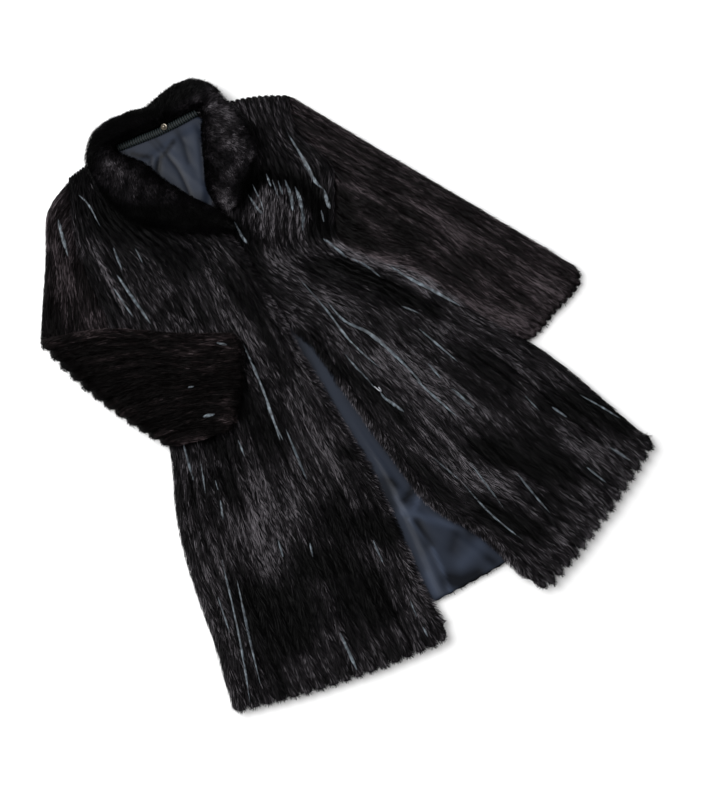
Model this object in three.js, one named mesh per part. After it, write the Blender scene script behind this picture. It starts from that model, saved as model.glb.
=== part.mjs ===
// A woman's mink coat laid flat on its back, with one sleeve folded across the front.
// Millimetres, +Z up. The neck is towards +Y and the hem towards -Y.
// Left and right are the wearer's: the right front lies at -X and laps over the left one.
import * as THREE from "three";

// Walls
const BACK = 9; // the back's wall, its pile pressed down by the coat's own weight
const PELT = 11; // the fronts' wall: 1 of skin and 10 of pile
const LINING = 1.5;
const REST = 0.4; // between two layers that lie on each other
const LINING_Z = BACK + REST;
const FRONT_Z = LINING_Z + LINING + REST + 0.2;
const SEAM_EDGE = 2; // a wall's thickness where it turns in to a seam
const SEAM_ROUND = 22; // how far in from a seam the wall reaches its full depth
const FREE_ROUND = 9; // the same at a hem, cuff or front edge
const FREE_PINCH = 3.5; // how much such an edge loses on each face

// Strips of pelt, each a soft rib that ends in a bump
const RIB = 1.8;
const RIB_LEVEL = 0.4; // how much of a rib lies under the wall's mean height
const HEM_BUMP = 5;
const SHOULDER_BUMP = 2.2;
const BUMP_REACH = 20;
const STRIPS = { rightFront: 17, leftFront: 16, back: 36, sleeve: 12 };

// Sections of the body, from the shoulders to the hem: where the two side seams and
// the two front edges pass.
const BODY = [
  { rightSide: [-186, 36], rightEdge: [-84, 42], leftEdge: [80, 10], leftSide: [236, -46] }, // shoulder
  { rightSide: [-234, -62], rightEdge: [-72, -55], leftEdge: [70, -62], leftSide: [214, -112] }, // yoke
  { rightSide: [-257, -168], rightEdge: [-6, -188], leftEdge: [8, -152], leftSide: [228, -214] }, // chest
  { rightSide: [-266, -245], rightEdge: [8, -262], leftEdge: [-45, -240], leftSide: [168, -322] }, // armpit
  { rightSide: [-276, -370], rightEdge: [5, -350], leftEdge: [-28, -340], leftSide: [200, -396] }, // waist
  { rightSide: [-290, -486], rightEdge: [1, -455], leftEdge: [9, -455], leftSide: [258, -470] }, // hip
  { rightSide: [-343, -597], rightEdge: [-6, -590], leftEdge: [20, -590], leftSide: [300, -580] }, // seat
  { rightSide: [-378, -705], rightEdge: [-12, -710], leftEdge: [25, -710], leftSide: [358, -700] }, // thigh
  { rightSide: [-402, -815], rightEdge: [-28, -825], leftEdge: [36, -822], leftSide: [393, -812] }, // knee
  { rightSide: [-422, -885], rightEdge: [-46, -925], leftEdge: [80, -920], leftSide: [410, -880] }, // calf
  { rightSide: [-434, -938], rightEdge: [-58, -1035], leftEdge: [113, -1058], leftSide: [428, -946] }, // hem
];
const UNDERARM = 0.3; // how far down the sections the armholes end
const NECK_RISE = 34; // the back neck rises this far over a line from shoulder to shoulder
const SHOULDER_RISE = { right: 2, left: 14 };
const HEM_DROP = 33; // the back hem hangs this far below a line from side to side
const HEM_SKEW = 12; // and this much more towards its left
const FRONT_HEM_DROP = { right: 11, left: 8 };
const CORNER = 18; // radius of the front hems' corners

// Large folds of the fronts: a ridge where height is over 0, and else a trough
const FOLDS = [
  { on: "left", from: [58, -150], to: [121, -140], height: -6, width: 10 },
  { on: "left", from: [121, -140], to: [165, -190], height: -6, width: 10 },
  { on: "left", from: [165, -190], to: [182, -246], height: -5, width: 10 },
  { on: "left", from: [100, -215], to: [126, -262], height: 9, width: 28 },
  { on: "left", from: [182, -246], to: [160, -300], height: -5, width: 10 },
  { on: "left", from: [138, -345], to: [190, -425], height: -5, width: 10 },
  { on: "left", from: [190, -425], to: [255, -525], height: -5, width: 10 },
  { on: "left", from: [112, -350], to: [165, -450], height: 7, width: 20 },
  { on: "left", from: [165, -450], to: [222, -570], height: 6, width: 22 },
  { on: "left", from: [60, -330], to: [108, -480], height: -4, width: 15 },
  { on: "left", from: [50, -330], to: [84, -520], height: 5, width: 20 },
  { on: "left", from: [100, -620], to: [150, -860], height: 6, width: 26 },
  { on: "left", from: [235, -610], to: [300, -840], height: 6, width: 30 },
  { on: "left", from: [175, -680], to: [222, -900], height: -4, width: 18 },
  { on: "left", from: [66, -870], to: [118, -975], height: 6, width: 22 },
  { on: "right", from: [-60, -235], to: [-46, -440], height: 5, width: 20 },
  { on: "right", from: [-95, -120], to: [-130, -215], height: -4, width: 16 },
  { on: "right", from: [-30, -470], to: [-62, -720], height: 5, width: 22 },
  { on: "right", from: [-100, -560], to: [-135, -800], height: -4, width: 17 },
  { on: "right", from: [-160, -570], to: [-205, -880], height: 6, width: 26 },
  { on: "right", from: [-235, -600], to: [-285, -860], height: -4, width: 18 },
  { on: "right", from: [-315, -640], to: [-368, -870], height: 6, width: 26 },
];

// The right front laps over the left one from the collar down to here, then they part.
const LAP_ENDS = { full: -440, none: -575 };
const LAP_RAMP = { from: -72, to: -26 }; // across the coat, from the left front's edge

// The lining's creases where the fronts lie open, and how far in from them they begin
const CREASES = [
  { from: [38, -12], to: [8, -130], height: 5, width: 7 },
  { from: [4, -10], to: [-12, -75], height: 4, width: 6 },
  { from: [-20, 0], to: [-34, -50], height: 4, width: 6 },
  { from: [8, -500], to: [8, -690], height: 3, width: 8 },
  { from: [14, -742], to: [6, -790], height: 6, width: 9 },
  { from: [6, -790], to: [60, -880], height: 7, width: 10 },
  { from: [0, -800], to: [-26, -960], height: 6, width: 9 },
  { from: [30, -850], to: [10, -950], height: 4, width: 12 },
];
const CREASE_INSET = 12;
const CREASE_TOP = { from: 2, to: -14 }; // they fade out towards the trim
const LINING_INSET = 34; // in from the side seams
// Where the lining starts along the sections, at the neck and under the shoulder seams
const LINING_TOP = { neck: 0.004, shoulder: 0.02, middle: 0.44, from: 0.12, to: 0.19 };
const LINING_HEM = 0.985;

// The left sleeve lies out from the body, whose side its lower edge follows down to the
// cuff. Its upper edge runs from the shoulder to the cuff.
const LEFT_SLEEVE = {
  side: "leftSide",
  upper: [[237, -46], [300, -185], [368, -330], [434, -470], [498, -612]],
  besideBody: 0.68, // how far down the body's sections its lower edge goes
  bow: 5,
};
const SLEEVE = 18; // both layers together
const SLEEVE_ROUND = 16;
const SLEEVE_EDGE = 1.2; // half the sleeve's depth at a seam or a turned edge
const CAP_ROUND = 14;
const CUFF_CORNER = 20;
const UNDER_CUFF = 5; // the under sleeve shows this much past the top one
const EDGE_GAP = 1.8; // between the body's side and a sleeve

// The right sleeve, as it would lie unfolded. It lies beside the body down to the crest
// of the fold, then turns over onto the right front.
const RIGHT_SLEEVE = {
  side: "rightSide",
  upper: [[-187, 37], [-248, 2], [-302, -80], [-386, -203], [-472, -333], [-526, -523]],
  besideBody: 0.5,
  cuffCorner: [-344, -576],
  bow: 12,
};
const FOLD = 0.6; // how far along the sleeve the fold's crest is
const CREST = { from: [-386, -202], to: [-291, -487], bow: 13 };
const FOLD_Z = 21.2; // the height of the axis that the sleeve turns about
const FOLD_NEUTRAL = 12; // the radius that keeps its length in the turn

// The collar's two halves: where its neckline and its free edge pass and, for each, the
// heights of its underside and of its top.
const RIGHT_COLLAR = [
  { at: "tip", inner: [22, -202, 37.2, 43], outer: [9, -220, 37.2, 43] },
  { at: "lap", inner: [4, -163, 37.8, 50], outer: [-35, -193, 37.2, 47] },
  { at: "break", inner: [-20, -122, 37.8, 49], outer: [-91, -146, 29, 43] },
  { at: "breast", inner: [-42, -70, 26, 43], outer: [-134, -100, 25, 42] },
  { at: "front", inner: [-57, -21, 25, 43], outer: [-147, -44, 25, 43] },
  { at: "side", inner: [-82, 14, 25, 43], outer: [-147, 8, 25, 42] },
  { at: "turn", inner: [-86, 46, 23, 40], outer: [-137, 47, 18, 38] },
  { at: "nape", inner: [-60, 46, 10, 30], outer: [-101, 79, 2, 36] },
  { at: "back", inner: [-34, 38, 10, 26], outer: [-48, 83, 1, 35] },
  { at: "centre", inner: [3.6, 32.5, 10, 25], outer: [7.6, 69, 1, 33] },
];
const LEFT_COLLAR = [
  { at: "end", inner: [11, -164, 25, 31], outer: [42, -180, 25, 31] },
  { at: "break", inner: [14, -124, 25, 35], outer: [88, -153, 25, 38] },
  { at: "breast", inner: [31, -90, 25, 39], outer: [123, -115, 26, 42] },
  { at: "front", inner: [46, -60, 25, 41], outer: [139, -72, 25, 43] },
  { at: "side", inner: [62, -32, 25, 43], outer: [139, -34, 25, 43] },
  { at: "rise", inner: [80, -4, 25, 42], outer: [131, 2, 22, 42] },
  { at: "turn", inner: [84, 18, 16, 34], outer: [125, 43, 4, 36] },
  { at: "nape", inner: [60, 26, 10, 28], outer: [94, 74, 1, 35] },
  { at: "back", inner: [32, 29, 10, 25], outer: [47, 76, 1, 34] },
  { at: "centre", inner: [4.4, 32.5, 10, 25], outer: [8.4, 69, 1, 33] },
];
const COLLAR_ROUND = 13;
const COLLAR_PINCH = 0.3; // an edge's thickness, as a share of the full one

// The gathered satin trim along the back neck seam, and the press stud on it
const TRIM = [[-80, 37], [-54, 32], [-28, 27], [-4, 23], [22, 20], [48, 18], [76, 17]];
const TRIM_Z = LINING_Z + LINING + REST;
const TRIM_HALF = 6;
const TRIM_HIGH = 5;
const TRIM_GATHERS = 26;
const GATHER = 0.7;
const STUD = { at: [12, 23.3], radius: 6.5, height: 2.4, cap: 3.2 };

// The fur hook near the left front's edge: a bent wire
const HOOK = { at: [72, -592], wire: 1.7, length: 15, rise: 5, clear: 1, turn: 0.25 };

const COLOURS = {
  fur: 0x100d0e,
  cuff: 0x181011,
  lining: 0x2c323b,
  trim: 0x12171a,
  metal: 0x8d8a84,
  hook: 0x26272a,
};

// Numbers
const clamp = (x, low = 0, high = 1) => Math.min(high, Math.max(low, x));
const mix = (a, b, t) => a + (b - a) * t;
const mixPoints = (a, b, t) => a.map((value, k) => mix(value, b[k], t));
const apart = (p, q) => Math.hypot(p[0] - q[0], p[1] - q[1]);
function smooth(from, to, x) {
  const t = clamp((x - from) / (to - from));
  return t * t * (3 - 2 * t);
}
// From 0 on an edge to 1 at a distance of radius, as a quarter circle rises
const rounded = (distance, radius) => Math.sqrt(1 - (1 - clamp(distance / radius)) ** 2);

// A point at t on a smooth curve through the points, each the same step of t apart
function along(points, t) {
  const last = points.length - 1;
  const i = Math.min(last - 1, Math.floor(t * last));
  const w = t * last - i;
  const [b, c] = [points[i], points[i + 1]];
  return b.map((_, k) => {
    const before = i > 0 ? points[i - 1][k] : 2 * b[k] - c[k];
    const after = i + 2 <= last ? points[i + 2][k] : 2 * c[k] - b[k];
    const [m, n] = [(c[k] - before) / 2, (after - b[k]) / 2];
    const [d, e] = [2 * (b[k] - c[k]) + m + n, 3 * (c[k] - b[k]) - 2 * m - n];
    return ((d * w + e) * w + m) * w + b[k];
  });
}
const bodyCurve = (name, v) => along(BODY.map((row) => row[name]), v);

// Rows of the body's panels: close at its ends and along the armholes
const BODY_ROWS = [
  ...[0, 0.008, 0.024],
  ...steps(6, 0.055, UNDERARM),
  ...steps(3, 0.35, 0.5),
  ...steps(6, 0.56, 0.92),
  ...[0.965, 0.985, 0.995, 1],
];
// A point of a body's edge, which is straight from row to row
function bodyEdge(name, v) {
  const i = Math.max(1, BODY_ROWS.findIndex((row) => row >= v));
  const [from, to] = [BODY_ROWS[i - 1], BODY_ROWS[i]];
  return mixPoints(bodyCurve(name, from), bodyCurve(name, to), (v - from) / (to - from));
}

// Where a front edge is across the coat, at a height y
const edgePoints = (name) => steps(60).map((t) => bodyCurve(name, t));
const EDGES = { rightEdge: edgePoints("rightEdge"), leftEdge: edgePoints("leftEdge") };
function edgeAt(name, y) {
  const points = EDGES[name];
  const i = points.findIndex((p, k) => k > 0 && p[1] <= y);
  if (i < 0) return points[points.length - 1][0];
  const [a, b] = [points[i - 1], points[i]];
  return mix(a[0], b[0], clamp((a[1] - y) / (a[1] - b[1])));
}

// How far a point is from the stretch between two others
function offStretch([x, y], from, to) {
  const [dx, dy] = [to[0] - from[0], to[1] - from[1]];
  const t = clamp(((x - from[0]) * dx + (y - from[1]) * dy) / (dx * dx + dy * dy));
  return Math.hypot(x - from[0] - t * dx, y - from[1] - t * dy);
}
function swell(point, { from, to, height, width }) {
  return height * Math.exp(-((offStretch(point, from, to) / width) ** 2));
}
const swells = (point, folds) => folds.reduce((sum, fold) => sum + swell(point, fold), 0);

// A strip's section, from 0 in the grooves beside it to 1 on its crest
const strip = (u, strips) => Math.abs(Math.sin(Math.PI * u * strips));
const rib = (u, strips) => RIB * (strip(u, strips) - RIB_LEVEL);
// How far out the strips' ends move a point that is at a distance from the edge
function bump(u, strips, distance, size) {
  return size * (strip(u, strips) - 0.5) * (1 - smooth(0, BUMP_REACH, distance));
}

// The plan of a panel of the body between two of its curves, with the distances from
// a point to the four edges
function panelPlan({ left, right, strips, topBow, hemBow, hemSkew = 0, topBump, hemBump }) {
  const plain = (u, v) => {
    const [x, y] = mixPoints(bodyCurve(left, v), bodyCurve(right, v), u);
    const [arch, skew] = [Math.sin(Math.PI * u), Math.sin(2 * Math.PI * u)];
    return [x, y + topBow * arch * clamp(1 - 10 * v) - (hemBow * arch - hemSkew * skew) * clamp(10 * v - 9)];
  };
  return (u, v) => {
    const [x, y] = plain(u, v);
    const fromTop = apart([x, y], plain(u, 0));
    const fromHem = apart([x, y], plain(u, 1));
    const width = apart(bodyCurve(left, v), bodyCurve(right, v));
    const out = bump(u, strips, fromTop, topBump) - bump(u, strips, fromHem, hemBump);
    return { x, y: y + out, fromTop, fromHem, fromLeft: u * width, fromRight: (1 - u) * width };
  };
}

// How far a corner is cut back at a distance from it, as a quarter circle is
const cornerRise = (distance, radius) => radius * (1 - rounded(distance, radius));

// Grids and walls
function steps(count, from = 0, to = 1) {
  return Array.from({ length: count + 1 }, (_, i) => mix(from, to, i / count));
}
const plainer = (list, n) => list.filter((_, i) => i % n === 0 || i < 3 || i > list.length - 4);

// A grid's points, its faces and the ring of its edge, where at runs from 0 to 4
function grid(points, surface, us, vs) {
  const start = points.length / 3;
  for (const v of vs) for (const u of us) points.push(...surface(u, v));
  const at = (i, j) => start + j * us.length + i;
  const [iEnd, jEnd] = [us.length - 1, vs.length - 1];
  const faces = [];
  for (let j = 0; j < jEnd; j++) {
    for (let i = 0; i < iEnd; i++) {
      faces.push([at(i, j), at(i, j + 1), at(i + 1, j)]);
      faces.push([at(i + 1, j), at(i, j + 1), at(i + 1, j + 1)]);
    }
  }
  const ring = roundEdge(us, vs).map(({ i, j, at: place }) => ({ index: at(i, j), at: place }));
  return { faces, ring: [...ring, { index: ring[0].index, at: 4 }] };
}

// The places round the edge of a grid, in turn
function roundEdge(us, vs) {
  const [iEnd, jEnd] = [us.length - 1, vs.length - 1];
  const top = us.map((u, i) => ({ i, j: 0, at: u }));
  const right = vs.map((v, j) => ({ i: iEnd, j, at: 1 + v }));
  const bottom = us.map((u, i) => ({ i, j: jEnd, at: 3 - u })).reverse();
  const left = vs.map((v, j) => ({ i: 0, j, at: 4 - v })).reverse();
  return [top, right, bottom, left].flatMap((side) => side.slice(0, -1));
}

// A surface's edge alone, as a ring of points
function edgeRing(points, surface, us, vs) {
  const ring = roundEdge(us, vs).map(({ i, j, at }) => {
    points.push(...surface(us[i], vs[j]));
    return { index: points.length / 3 - 1, at };
  });
  return [...ring, { index: ring[0].index, at: 4 }];
}

// Faces that join two rings with different numbers of points
function band(a, b) {
  const faces = [];
  let [i, j] = [0, 0];
  while (i < a.length - 1 || j < b.length - 1) {
    const stepA = j === b.length - 1 || (i < a.length - 1 && a[i + 1].at <= b[j + 1].at);
    if (stepA) faces.push([a[i].index, a[++i].index, b[j].index]);
    else faces.push([a[i].index, b[j + 1].index, b[j++].index]);
  }
  return faces;
}

function volume(points, faces) {
  const p = (i) => new THREE.Vector3(...points.slice(3 * i, 3 * i + 3));
  return faces.reduce((sum, [a, b, c]) => sum + p(a).dot(p(b).cross(p(c))) / 6, 0);
}

// A closed wall between an outer face and an inner one, whose grid is plainer within its edge
function wall({ outer, inner, us, vs, innerUs = plainer(us, 4), innerVs = plainer(vs, 2) }) {
  const points = [];
  const a = grid(points, outer, us, vs);
  const b = edgeRing(points, inner, us, vs);
  const c = grid(points, inner, innerUs.slice(1, -1), innerVs.slice(1, -1));
  const within = [...c.faces, ...band(c.ring, b)].map(([p, q, r]) => [p, r, q]);
  const faces = [...a.faces, ...band(a.ring, b), ...within];
  const outward = volume(points, faces) > 0 ? faces : faces.map(([p, q, r]) => [p, r, q]);
  const geometry = new THREE.BufferGeometry();
  geometry.setAttribute("position", new THREE.Float32BufferAttribute(points, 3));
  geometry.setIndex(outward.flat());
  geometry.computeVertexNormals();
  return geometry;
}

// The back, with its pile on the floor. Its strips show at the hem, between the fronts.
const BACK_SHOWN = { from: 14, to: 23 };
const BACK_PLAN = {
  left: "rightSide",
  right: "leftSide",
  topBow: NECK_RISE,
  hemBow: HEM_DROP,
  hemSkew: HEM_SKEW,
  topBump: 0,
};
function back() {
  const strips = STRIPS.back;
  const plan = panelPlan({ ...BACK_PLAN, strips, hemBump: HEM_BUMP });
  const heights = (u, v) => {
    const p = plan(u, v);
    const side = rounded(Math.min(p.fromLeft, p.fromRight, p.fromTop), SEAM_ROUND);
    const hem = 1 - rounded(p.fromHem, FREE_ROUND);
    const low = Math.max((BACK - SEAM_EDGE) * (1 - side), FREE_PINCH * hem);
    return { x: p.x, y: p.y, low, high: BACK - hem };
  };
  const low = (u, v) => {
    const p = heights(u, v);
    return [p.x, p.y, p.low];
  };
  const high = (u, v) => {
    const p = heights(u, v);
    return [p.x, p.y, p.high];
  };
  const grooves = steps(strips / 2);
  const { from, to } = BACK_SHOWN;
  const shown = steps(2 * (to - from), from / strips, to / strips);
  const fresh = shown.filter((u) => !grooves.some((groove) => Math.abs(groove - u) < 1e-6));
  const us = [...grooves, ...fresh].sort((a, b) => a - b);
  return wall({ outer: low, inner: high, us, vs: BODY_ROWS });
}

// The lining on the back
function lining() {
  const plan = panelPlan({ ...BACK_PLAN, strips: 0, hemBump: 0 });
  const face = (raised) => (u, v) => {
    const width = apart(bodyCurve("leftSide", v), bodyCurve("rightSide", v));
    const inset = LINING_INSET / width;
    const across = mix(inset, 1 - inset, u);
    const { neck, shoulder, middle, from, to } = LINING_TOP;
    const start = mix(neck, shoulder, smooth(from, to, Math.abs(across - middle)));
    const { x, y } = plan(across, mix(start, LINING_HEM, v));
    const open = Math.min(x - edgeAt("rightEdge", y), edgeAt("leftEdge", y) - x) - CREASE_INSET;
    const shown = smooth(0, CREASE_INSET, open) * smooth(CREASE_TOP.from, CREASE_TOP.to, y);
    return [x, y, LINING_Z + swells([x, y], CREASES) * shown + raised];
  };
  const us = [...steps(3, 0, 0.36), ...steps(13, 0.39, 0.7), ...steps(2, 0.8, 1)];
  const vs = [0, ...steps(6, 0.024, 0.24), ...steps(2, 0.32, 0.44), ...steps(13, 0.49, 1)];
  return wall({ outer: face(LINING), inner: face(0), us, vs, innerUs: us, innerVs: vs });
}

// The two fronts
const FRONTS = {
  right: {
    left: "rightSide",
    right: "rightEdge",
    strips: STRIPS.rightFront,
    topBow: SHOULDER_RISE.right,
    hemBow: FRONT_HEM_DROP.right,
    seam: "fromLeft",
    free: "fromRight",
  },
  left: {
    left: "leftEdge",
    right: "leftSide",
    strips: STRIPS.leftFront,
    topBow: SHOULDER_RISE.left,
    hemBow: FRONT_HEM_DROP.left,
    seam: "fromRight",
    free: "fromLeft",
  },
};
function lapHeight(x, y) {
  const over = smooth(LAP_RAMP.from, LAP_RAMP.to, x - edgeAt("leftEdge", y));
  return (PELT + REST + RIB) * over * smooth(LAP_ENDS.none, LAP_ENDS.full, y);
}
// A front's place and its two heights at a point of its plan
function frontSurface(side) {
  const { strips, seam, free } = FRONTS[side];
  const plan = panelPlan({ ...FRONTS[side], topBump: SHOULDER_BUMP, hemBump: HEM_BUMP });
  const folds = FOLDS.filter((fold) => fold.on === side);
  return (u, v) => {
    const p = plan(u, v);
    const corner = cornerRise(p[free], CORNER) * (1 - smooth(0, 1.6 * CORNER, p.fromHem));
    const [x, y] = [p.x, p.y + corner];
    const full = rounded(p[seam], SEAM_ROUND) * rounded(p.fromTop, SEAM_ROUND);
    const pinch = FREE_PINCH * (1 - rounded(p[free], FREE_ROUND) * rounded(p.fromHem, FREE_ROUND));
    const fold = swells([x, y], folds) * full;
    const [ridge, trough] = [Math.max(fold, 0), Math.min(fold, 0)];
    const lap = side === "right" ? lapHeight(x, y) : 0;
    const low = mix(BACK + 0.4, FRONT_Z + lap + 0.85 * ridge, full);
    const depth = mix(SEAM_EDGE, PELT + trough + 0.15 * ridge, full);
    return { x, y, low: low + pinch, high: low + depth + rib(u, strips) * full - pinch };
  };
}
function front(side) {
  const surface = frontSurface(side);
  const high = (u, v) => {
    const p = surface(u, v);
    return [p.x, p.y, p.high];
  };
  const low = (u, v) => {
    const p = surface(u, v);
    return [p.x, p.y, p.low];
  };
  return wall({ outer: high, inner: low, us: steps(2 * FRONTS[side].strips), vs: BODY_ROWS });
}

// The plan of a sleeve: a patch between its upper and lower edges, the armhole and the cuff
function sleevePlan(sleeve, cuffPast) {
  const { side, upper, besideBody, cuffCorner, bow } = sleeve;
  const turn = side === "leftSide" ? 1 : -1;
  const besideEnd = cuffCorner ? FOLD : 1;
  const beside = (v) => {
    const [x, y] = bodyEdge(side, v);
    return [x + turn * EDGE_GAP, y];
  };
  const top = (v) => along(upper, v);
  const bottom = (v) => {
    const held = Math.min(1, v / besideEnd);
    const point = beside(mix(UNDERARM, besideBody, held));
    return v <= besideEnd ? point : mixPoints(point, cuffCorner, (v - besideEnd) / (1 - besideEnd));
  };
  const armhole = (u) => beside(u * UNDERARM);
  const [cuffFrom, cuffTo] = [top(1), bottom(1)];
  const cuffLength = apart(cuffFrom, cuffTo);
  const across = [(cuffTo[0] - cuffFrom[0]) / cuffLength, (cuffTo[1] - cuffFrom[1]) / cuffLength];
  const outward = [-turn * across[1], turn * across[0]];
  const cuff = (u) => {
    const out = bow * Math.sin(Math.PI * u);
    return mixPoints(cuffFrom, cuffTo, u).map((value, k) => value + out * outward[k]);
  };
  const plain = (u, v) => {
    const ruled = mixPoints(top(v), bottom(v), u);
    const cross = mixPoints(armhole(u), cuff(u), v);
    const corners = mixPoints(mixPoints(armhole(0), armhole(1), u), mixPoints(cuffFrom, cuffTo, u), v);
    return ruled.map((value, k) => value + cross[k] - corners[k]);
  };
  return (u, v) => {
    const p = plain(u, v);
    const fromCuff = apart(p, plain(u, 1));
    const corner = cornerRise(Math.min(u, 1 - u) * cuffLength, CUFF_CORNER);
    const past = (cuffPast - corner) * (1 - smooth(0, 2 * BUMP_REACH, fromCuff));
    const out = past + bump(u, STRIPS.sleeve, fromCuff, HEM_BUMP);
    const width = apart(plain(0, v), plain(1, v));
    return {
      x: p[0] + out * outward[0],
      y: p[1] + out * outward[1],
      fromSide: Math.min(u, 1 - u) * width,
      fromCap: apart(p, plain(u, 0)),
      fromCuff,
    };
  };
}

// The heights of the sleeve's two layers where it lies flat
function sleeveHeights(p) {
  const full = rounded(p.fromSide, SLEEVE_ROUND) * rounded(p.fromCap, CAP_ROUND);
  const pinch = FREE_PINCH * (1 - rounded(p.fromCuff, FREE_ROUND));
  const middle = SLEEVE / 2;
  return {
    full,
    top: { out: mix(middle + SLEEVE_EDGE, SLEEVE - pinch, full), in: middle + REST / 2 },
    under: { out: mix(middle - SLEEVE_EDGE, pinch, full), in: middle - REST / 2 },
  };
}
const SLEEVE_US = steps(2 * STRIPS.sleeve);

// A sleeve's rows: the body's own ones where it lies beside the body, and close at its ends
function sleeveRows({ besideBody }, besideEnd, more = []) {
  const beside = BODY_ROWS.filter((row) => row >= UNDERARM && row <= besideBody);
  const rows = beside.map((row) => (besideEnd * (row - UNDERARM)) / (besideBody - UNDERARM));
  return [...rows, ...more, 0.012, 0.035, 0.08, 0.96, 0.982, 0.993, 1].sort((a, b) => a - b);
}

function leftSleeve(layer) {
  const isTop = layer === "top";
  const plan = sleevePlan(LEFT_SLEEVE, isTop ? 0 : UNDER_CUFF);
  const outer = (u, v) => {
    const p = plan(u, v);
    const heights = sleeveHeights(p);
    return [p.x, p.y, heights[layer].out + (isTop ? rib(u, STRIPS.sleeve) * heights.full : 0)];
  };
  const inner = (u, v) => {
    const p = plan(u, v);
    return [p.x, p.y, sleeveHeights(p)[layer].in];
  };
  return wall({ outer, inner, us: SLEEVE_US, vs: sleeveRows(LEFT_SLEEVE, 1) });
}

// How far along the fold's crest a point is, and how far it is past the crest
const CREST_LENGTH = apart(CREST.from, CREST.to);
const CREST_RUN = [0, 1].map((k) => (CREST.to[k] - CREST.from[k]) / CREST_LENGTH);
const CREST_OUT = [CREST_RUN[1], -CREST_RUN[0]];
function byCrest([x, y]) {
  const [dx, dy] = [x - CREST.from[0], y - CREST.from[1]];
  const t = dx * CREST_RUN[0] + dy * CREST_RUN[1];
  const bow = CREST.bow * Math.sin(Math.PI * clamp(t / CREST_LENGTH));
  return { t, bow, past: dx * CREST_OUT[0] + dy * CREST_OUT[1] - bow };
}
// Takes a point of the unfolded sleeve round the fold.
function folded(point, z) {
  const { t, bow, past } = byCrest(point);
  const into = past + FOLD_Z;
  const turn = clamp(into / FOLD_NEUTRAL, 0, Math.PI);
  const straight = into < 0 ? into : -Math.max(0, into - Math.PI * FOLD_NEUTRAL);
  const radius = FOLD_Z - z;
  const out = bow - FOLD_Z + straight + radius * Math.sin(turn);
  const [x, y] = [0, 1].map((k) => CREST.from[k] + t * CREST_RUN[k] + out * CREST_OUT[k]);
  return [x, y, FOLD_Z - radius * Math.cos(turn)];
}

// The right sleeve, folded over its own upper arm and the right front
function rightSleeve(layer) {
  const isTop = layer === "top";
  const plan = sleevePlan(RIGHT_SLEEVE, isTop ? 0 : UNDER_CUFF);
  const outer = (u, v) => {
    const p = plan(u, v);
    const { full, ...heights } = sleeveHeights(p);
    const into = byCrest([p.x, p.y]).past + FOLD_Z;
    const shown = isTop ? 1 - smooth(-30, 0, into) : smooth(0, 14, into);
    const raised = rib(u, STRIPS.sleeve) * full * shown;
    return folded([p.x, p.y], heights[layer].out + (isTop ? raised : -raised));
  };
  const inner = (u, v) => {
    const p = plan(u, v);
    return folded([p.x, p.y], sleeveHeights(p)[layer].in);
  };
  const turning = [0.51, 0.535, 0.56, 0.58, 0.62, 0.645, 0.67, 0.7, 0.78, 0.87];
  const vs = sleeveRows(RIGHT_SLEEVE, FOLD, turning);
  return wall({ outer, inner, us: SLEEVE_US, vs, innerVs: vs });
}

// A half of the collar: a thick band of double fur that lies out from the neckline
function collar(rows) {
  const inner = rows.map((row) => row.inner);
  const outer = rows.map((row) => row.outer);
  const face = (side) => (u, v) => {
    const [a, b] = [along(inner, v), along(outer, v)];
    const [x, y, low, high] = mixPoints(a, b, u);
    const full = rounded(Math.min(u, 1 - u) * apart(a, b), COLLAR_ROUND) * rounded(v, 0.07);
    const half = ((high - low) / 2) * mix(COLLAR_PINCH, 1, full);
    return [x, y, (low + high) / 2 + side * half];
  };
  const us = [0, 0.03, 0.1, 0.22, 0.4, 0.6, 0.78, 0.9, 0.97, 1];
  const vs = [0, 0.012, 0.035, ...steps(20, 0.07, 1)];
  return wall({ outer: face(1), inner: face(-1), us, vs, innerUs: plainer(us, 2), innerVs: vs });
}

// The trim: a half-round band of gathered satin
function trim() {
  const rings = 2 * TRIM_GATHERS;
  const sides = 4;
  const section = steps(sides).map((t) => [-Math.cos(Math.PI * t), Math.sin(Math.PI * t)]);
  const high = (u, v) => {
    const [x, y] = along(TRIM, v);
    const [last, next] = [along(TRIM, Math.max(0, v - 0.01)), along(TRIM, Math.min(1, v + 0.01))];
    const run = Math.atan2(next[1] - last[1], next[0] - last[0]);
    const gather = GATHER * Math.cos(Math.PI * rings * v);
    const [across, up] = section[Math.round(u * sides)];
    const reach = (TRIM_HALF + gather / 2) * across;
    return [x - Math.sin(run) * reach, y + Math.cos(run) * reach, TRIM_Z + 1 + (TRIM_HIGH + gather) * up];
  };
  const low = (u, v) => {
    const [x, y] = mixPoints(high(0, v), high(1, v), u);
    return [x, y, TRIM_Z];
  };
  const vs = steps(rings);
  return wall({ outer: high, inner: low, us: steps(sides), vs, innerUs: steps(3), innerVs: plainer(vs, 4) });
}

// The press stud: a flanged cap, turned about its own axis
function stud() {
  const { radius, height, cap } = STUD;
  const dome = steps(3).map((t) => {
    const turn = (Math.PI / 2) * t;
    return [cap * Math.cos(turn), height + 0.8 * cap * Math.sin(turn)];
  });
  const ring = [[0, 0], [radius, 0], [radius, 0.5 * height], [0.8 * radius, height]];
  const flange = [...ring, [1.2 * cap, 0.8 * height]];
  const profile = [...flange, ...dome.slice(0, -1), [0, height + 0.8 * cap]];
  const points = profile.map(([r, z]) => new THREE.Vector2(r, z));
  return new THREE.LatheGeometry(points, 16).rotateX(Math.PI / 2);
}

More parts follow.
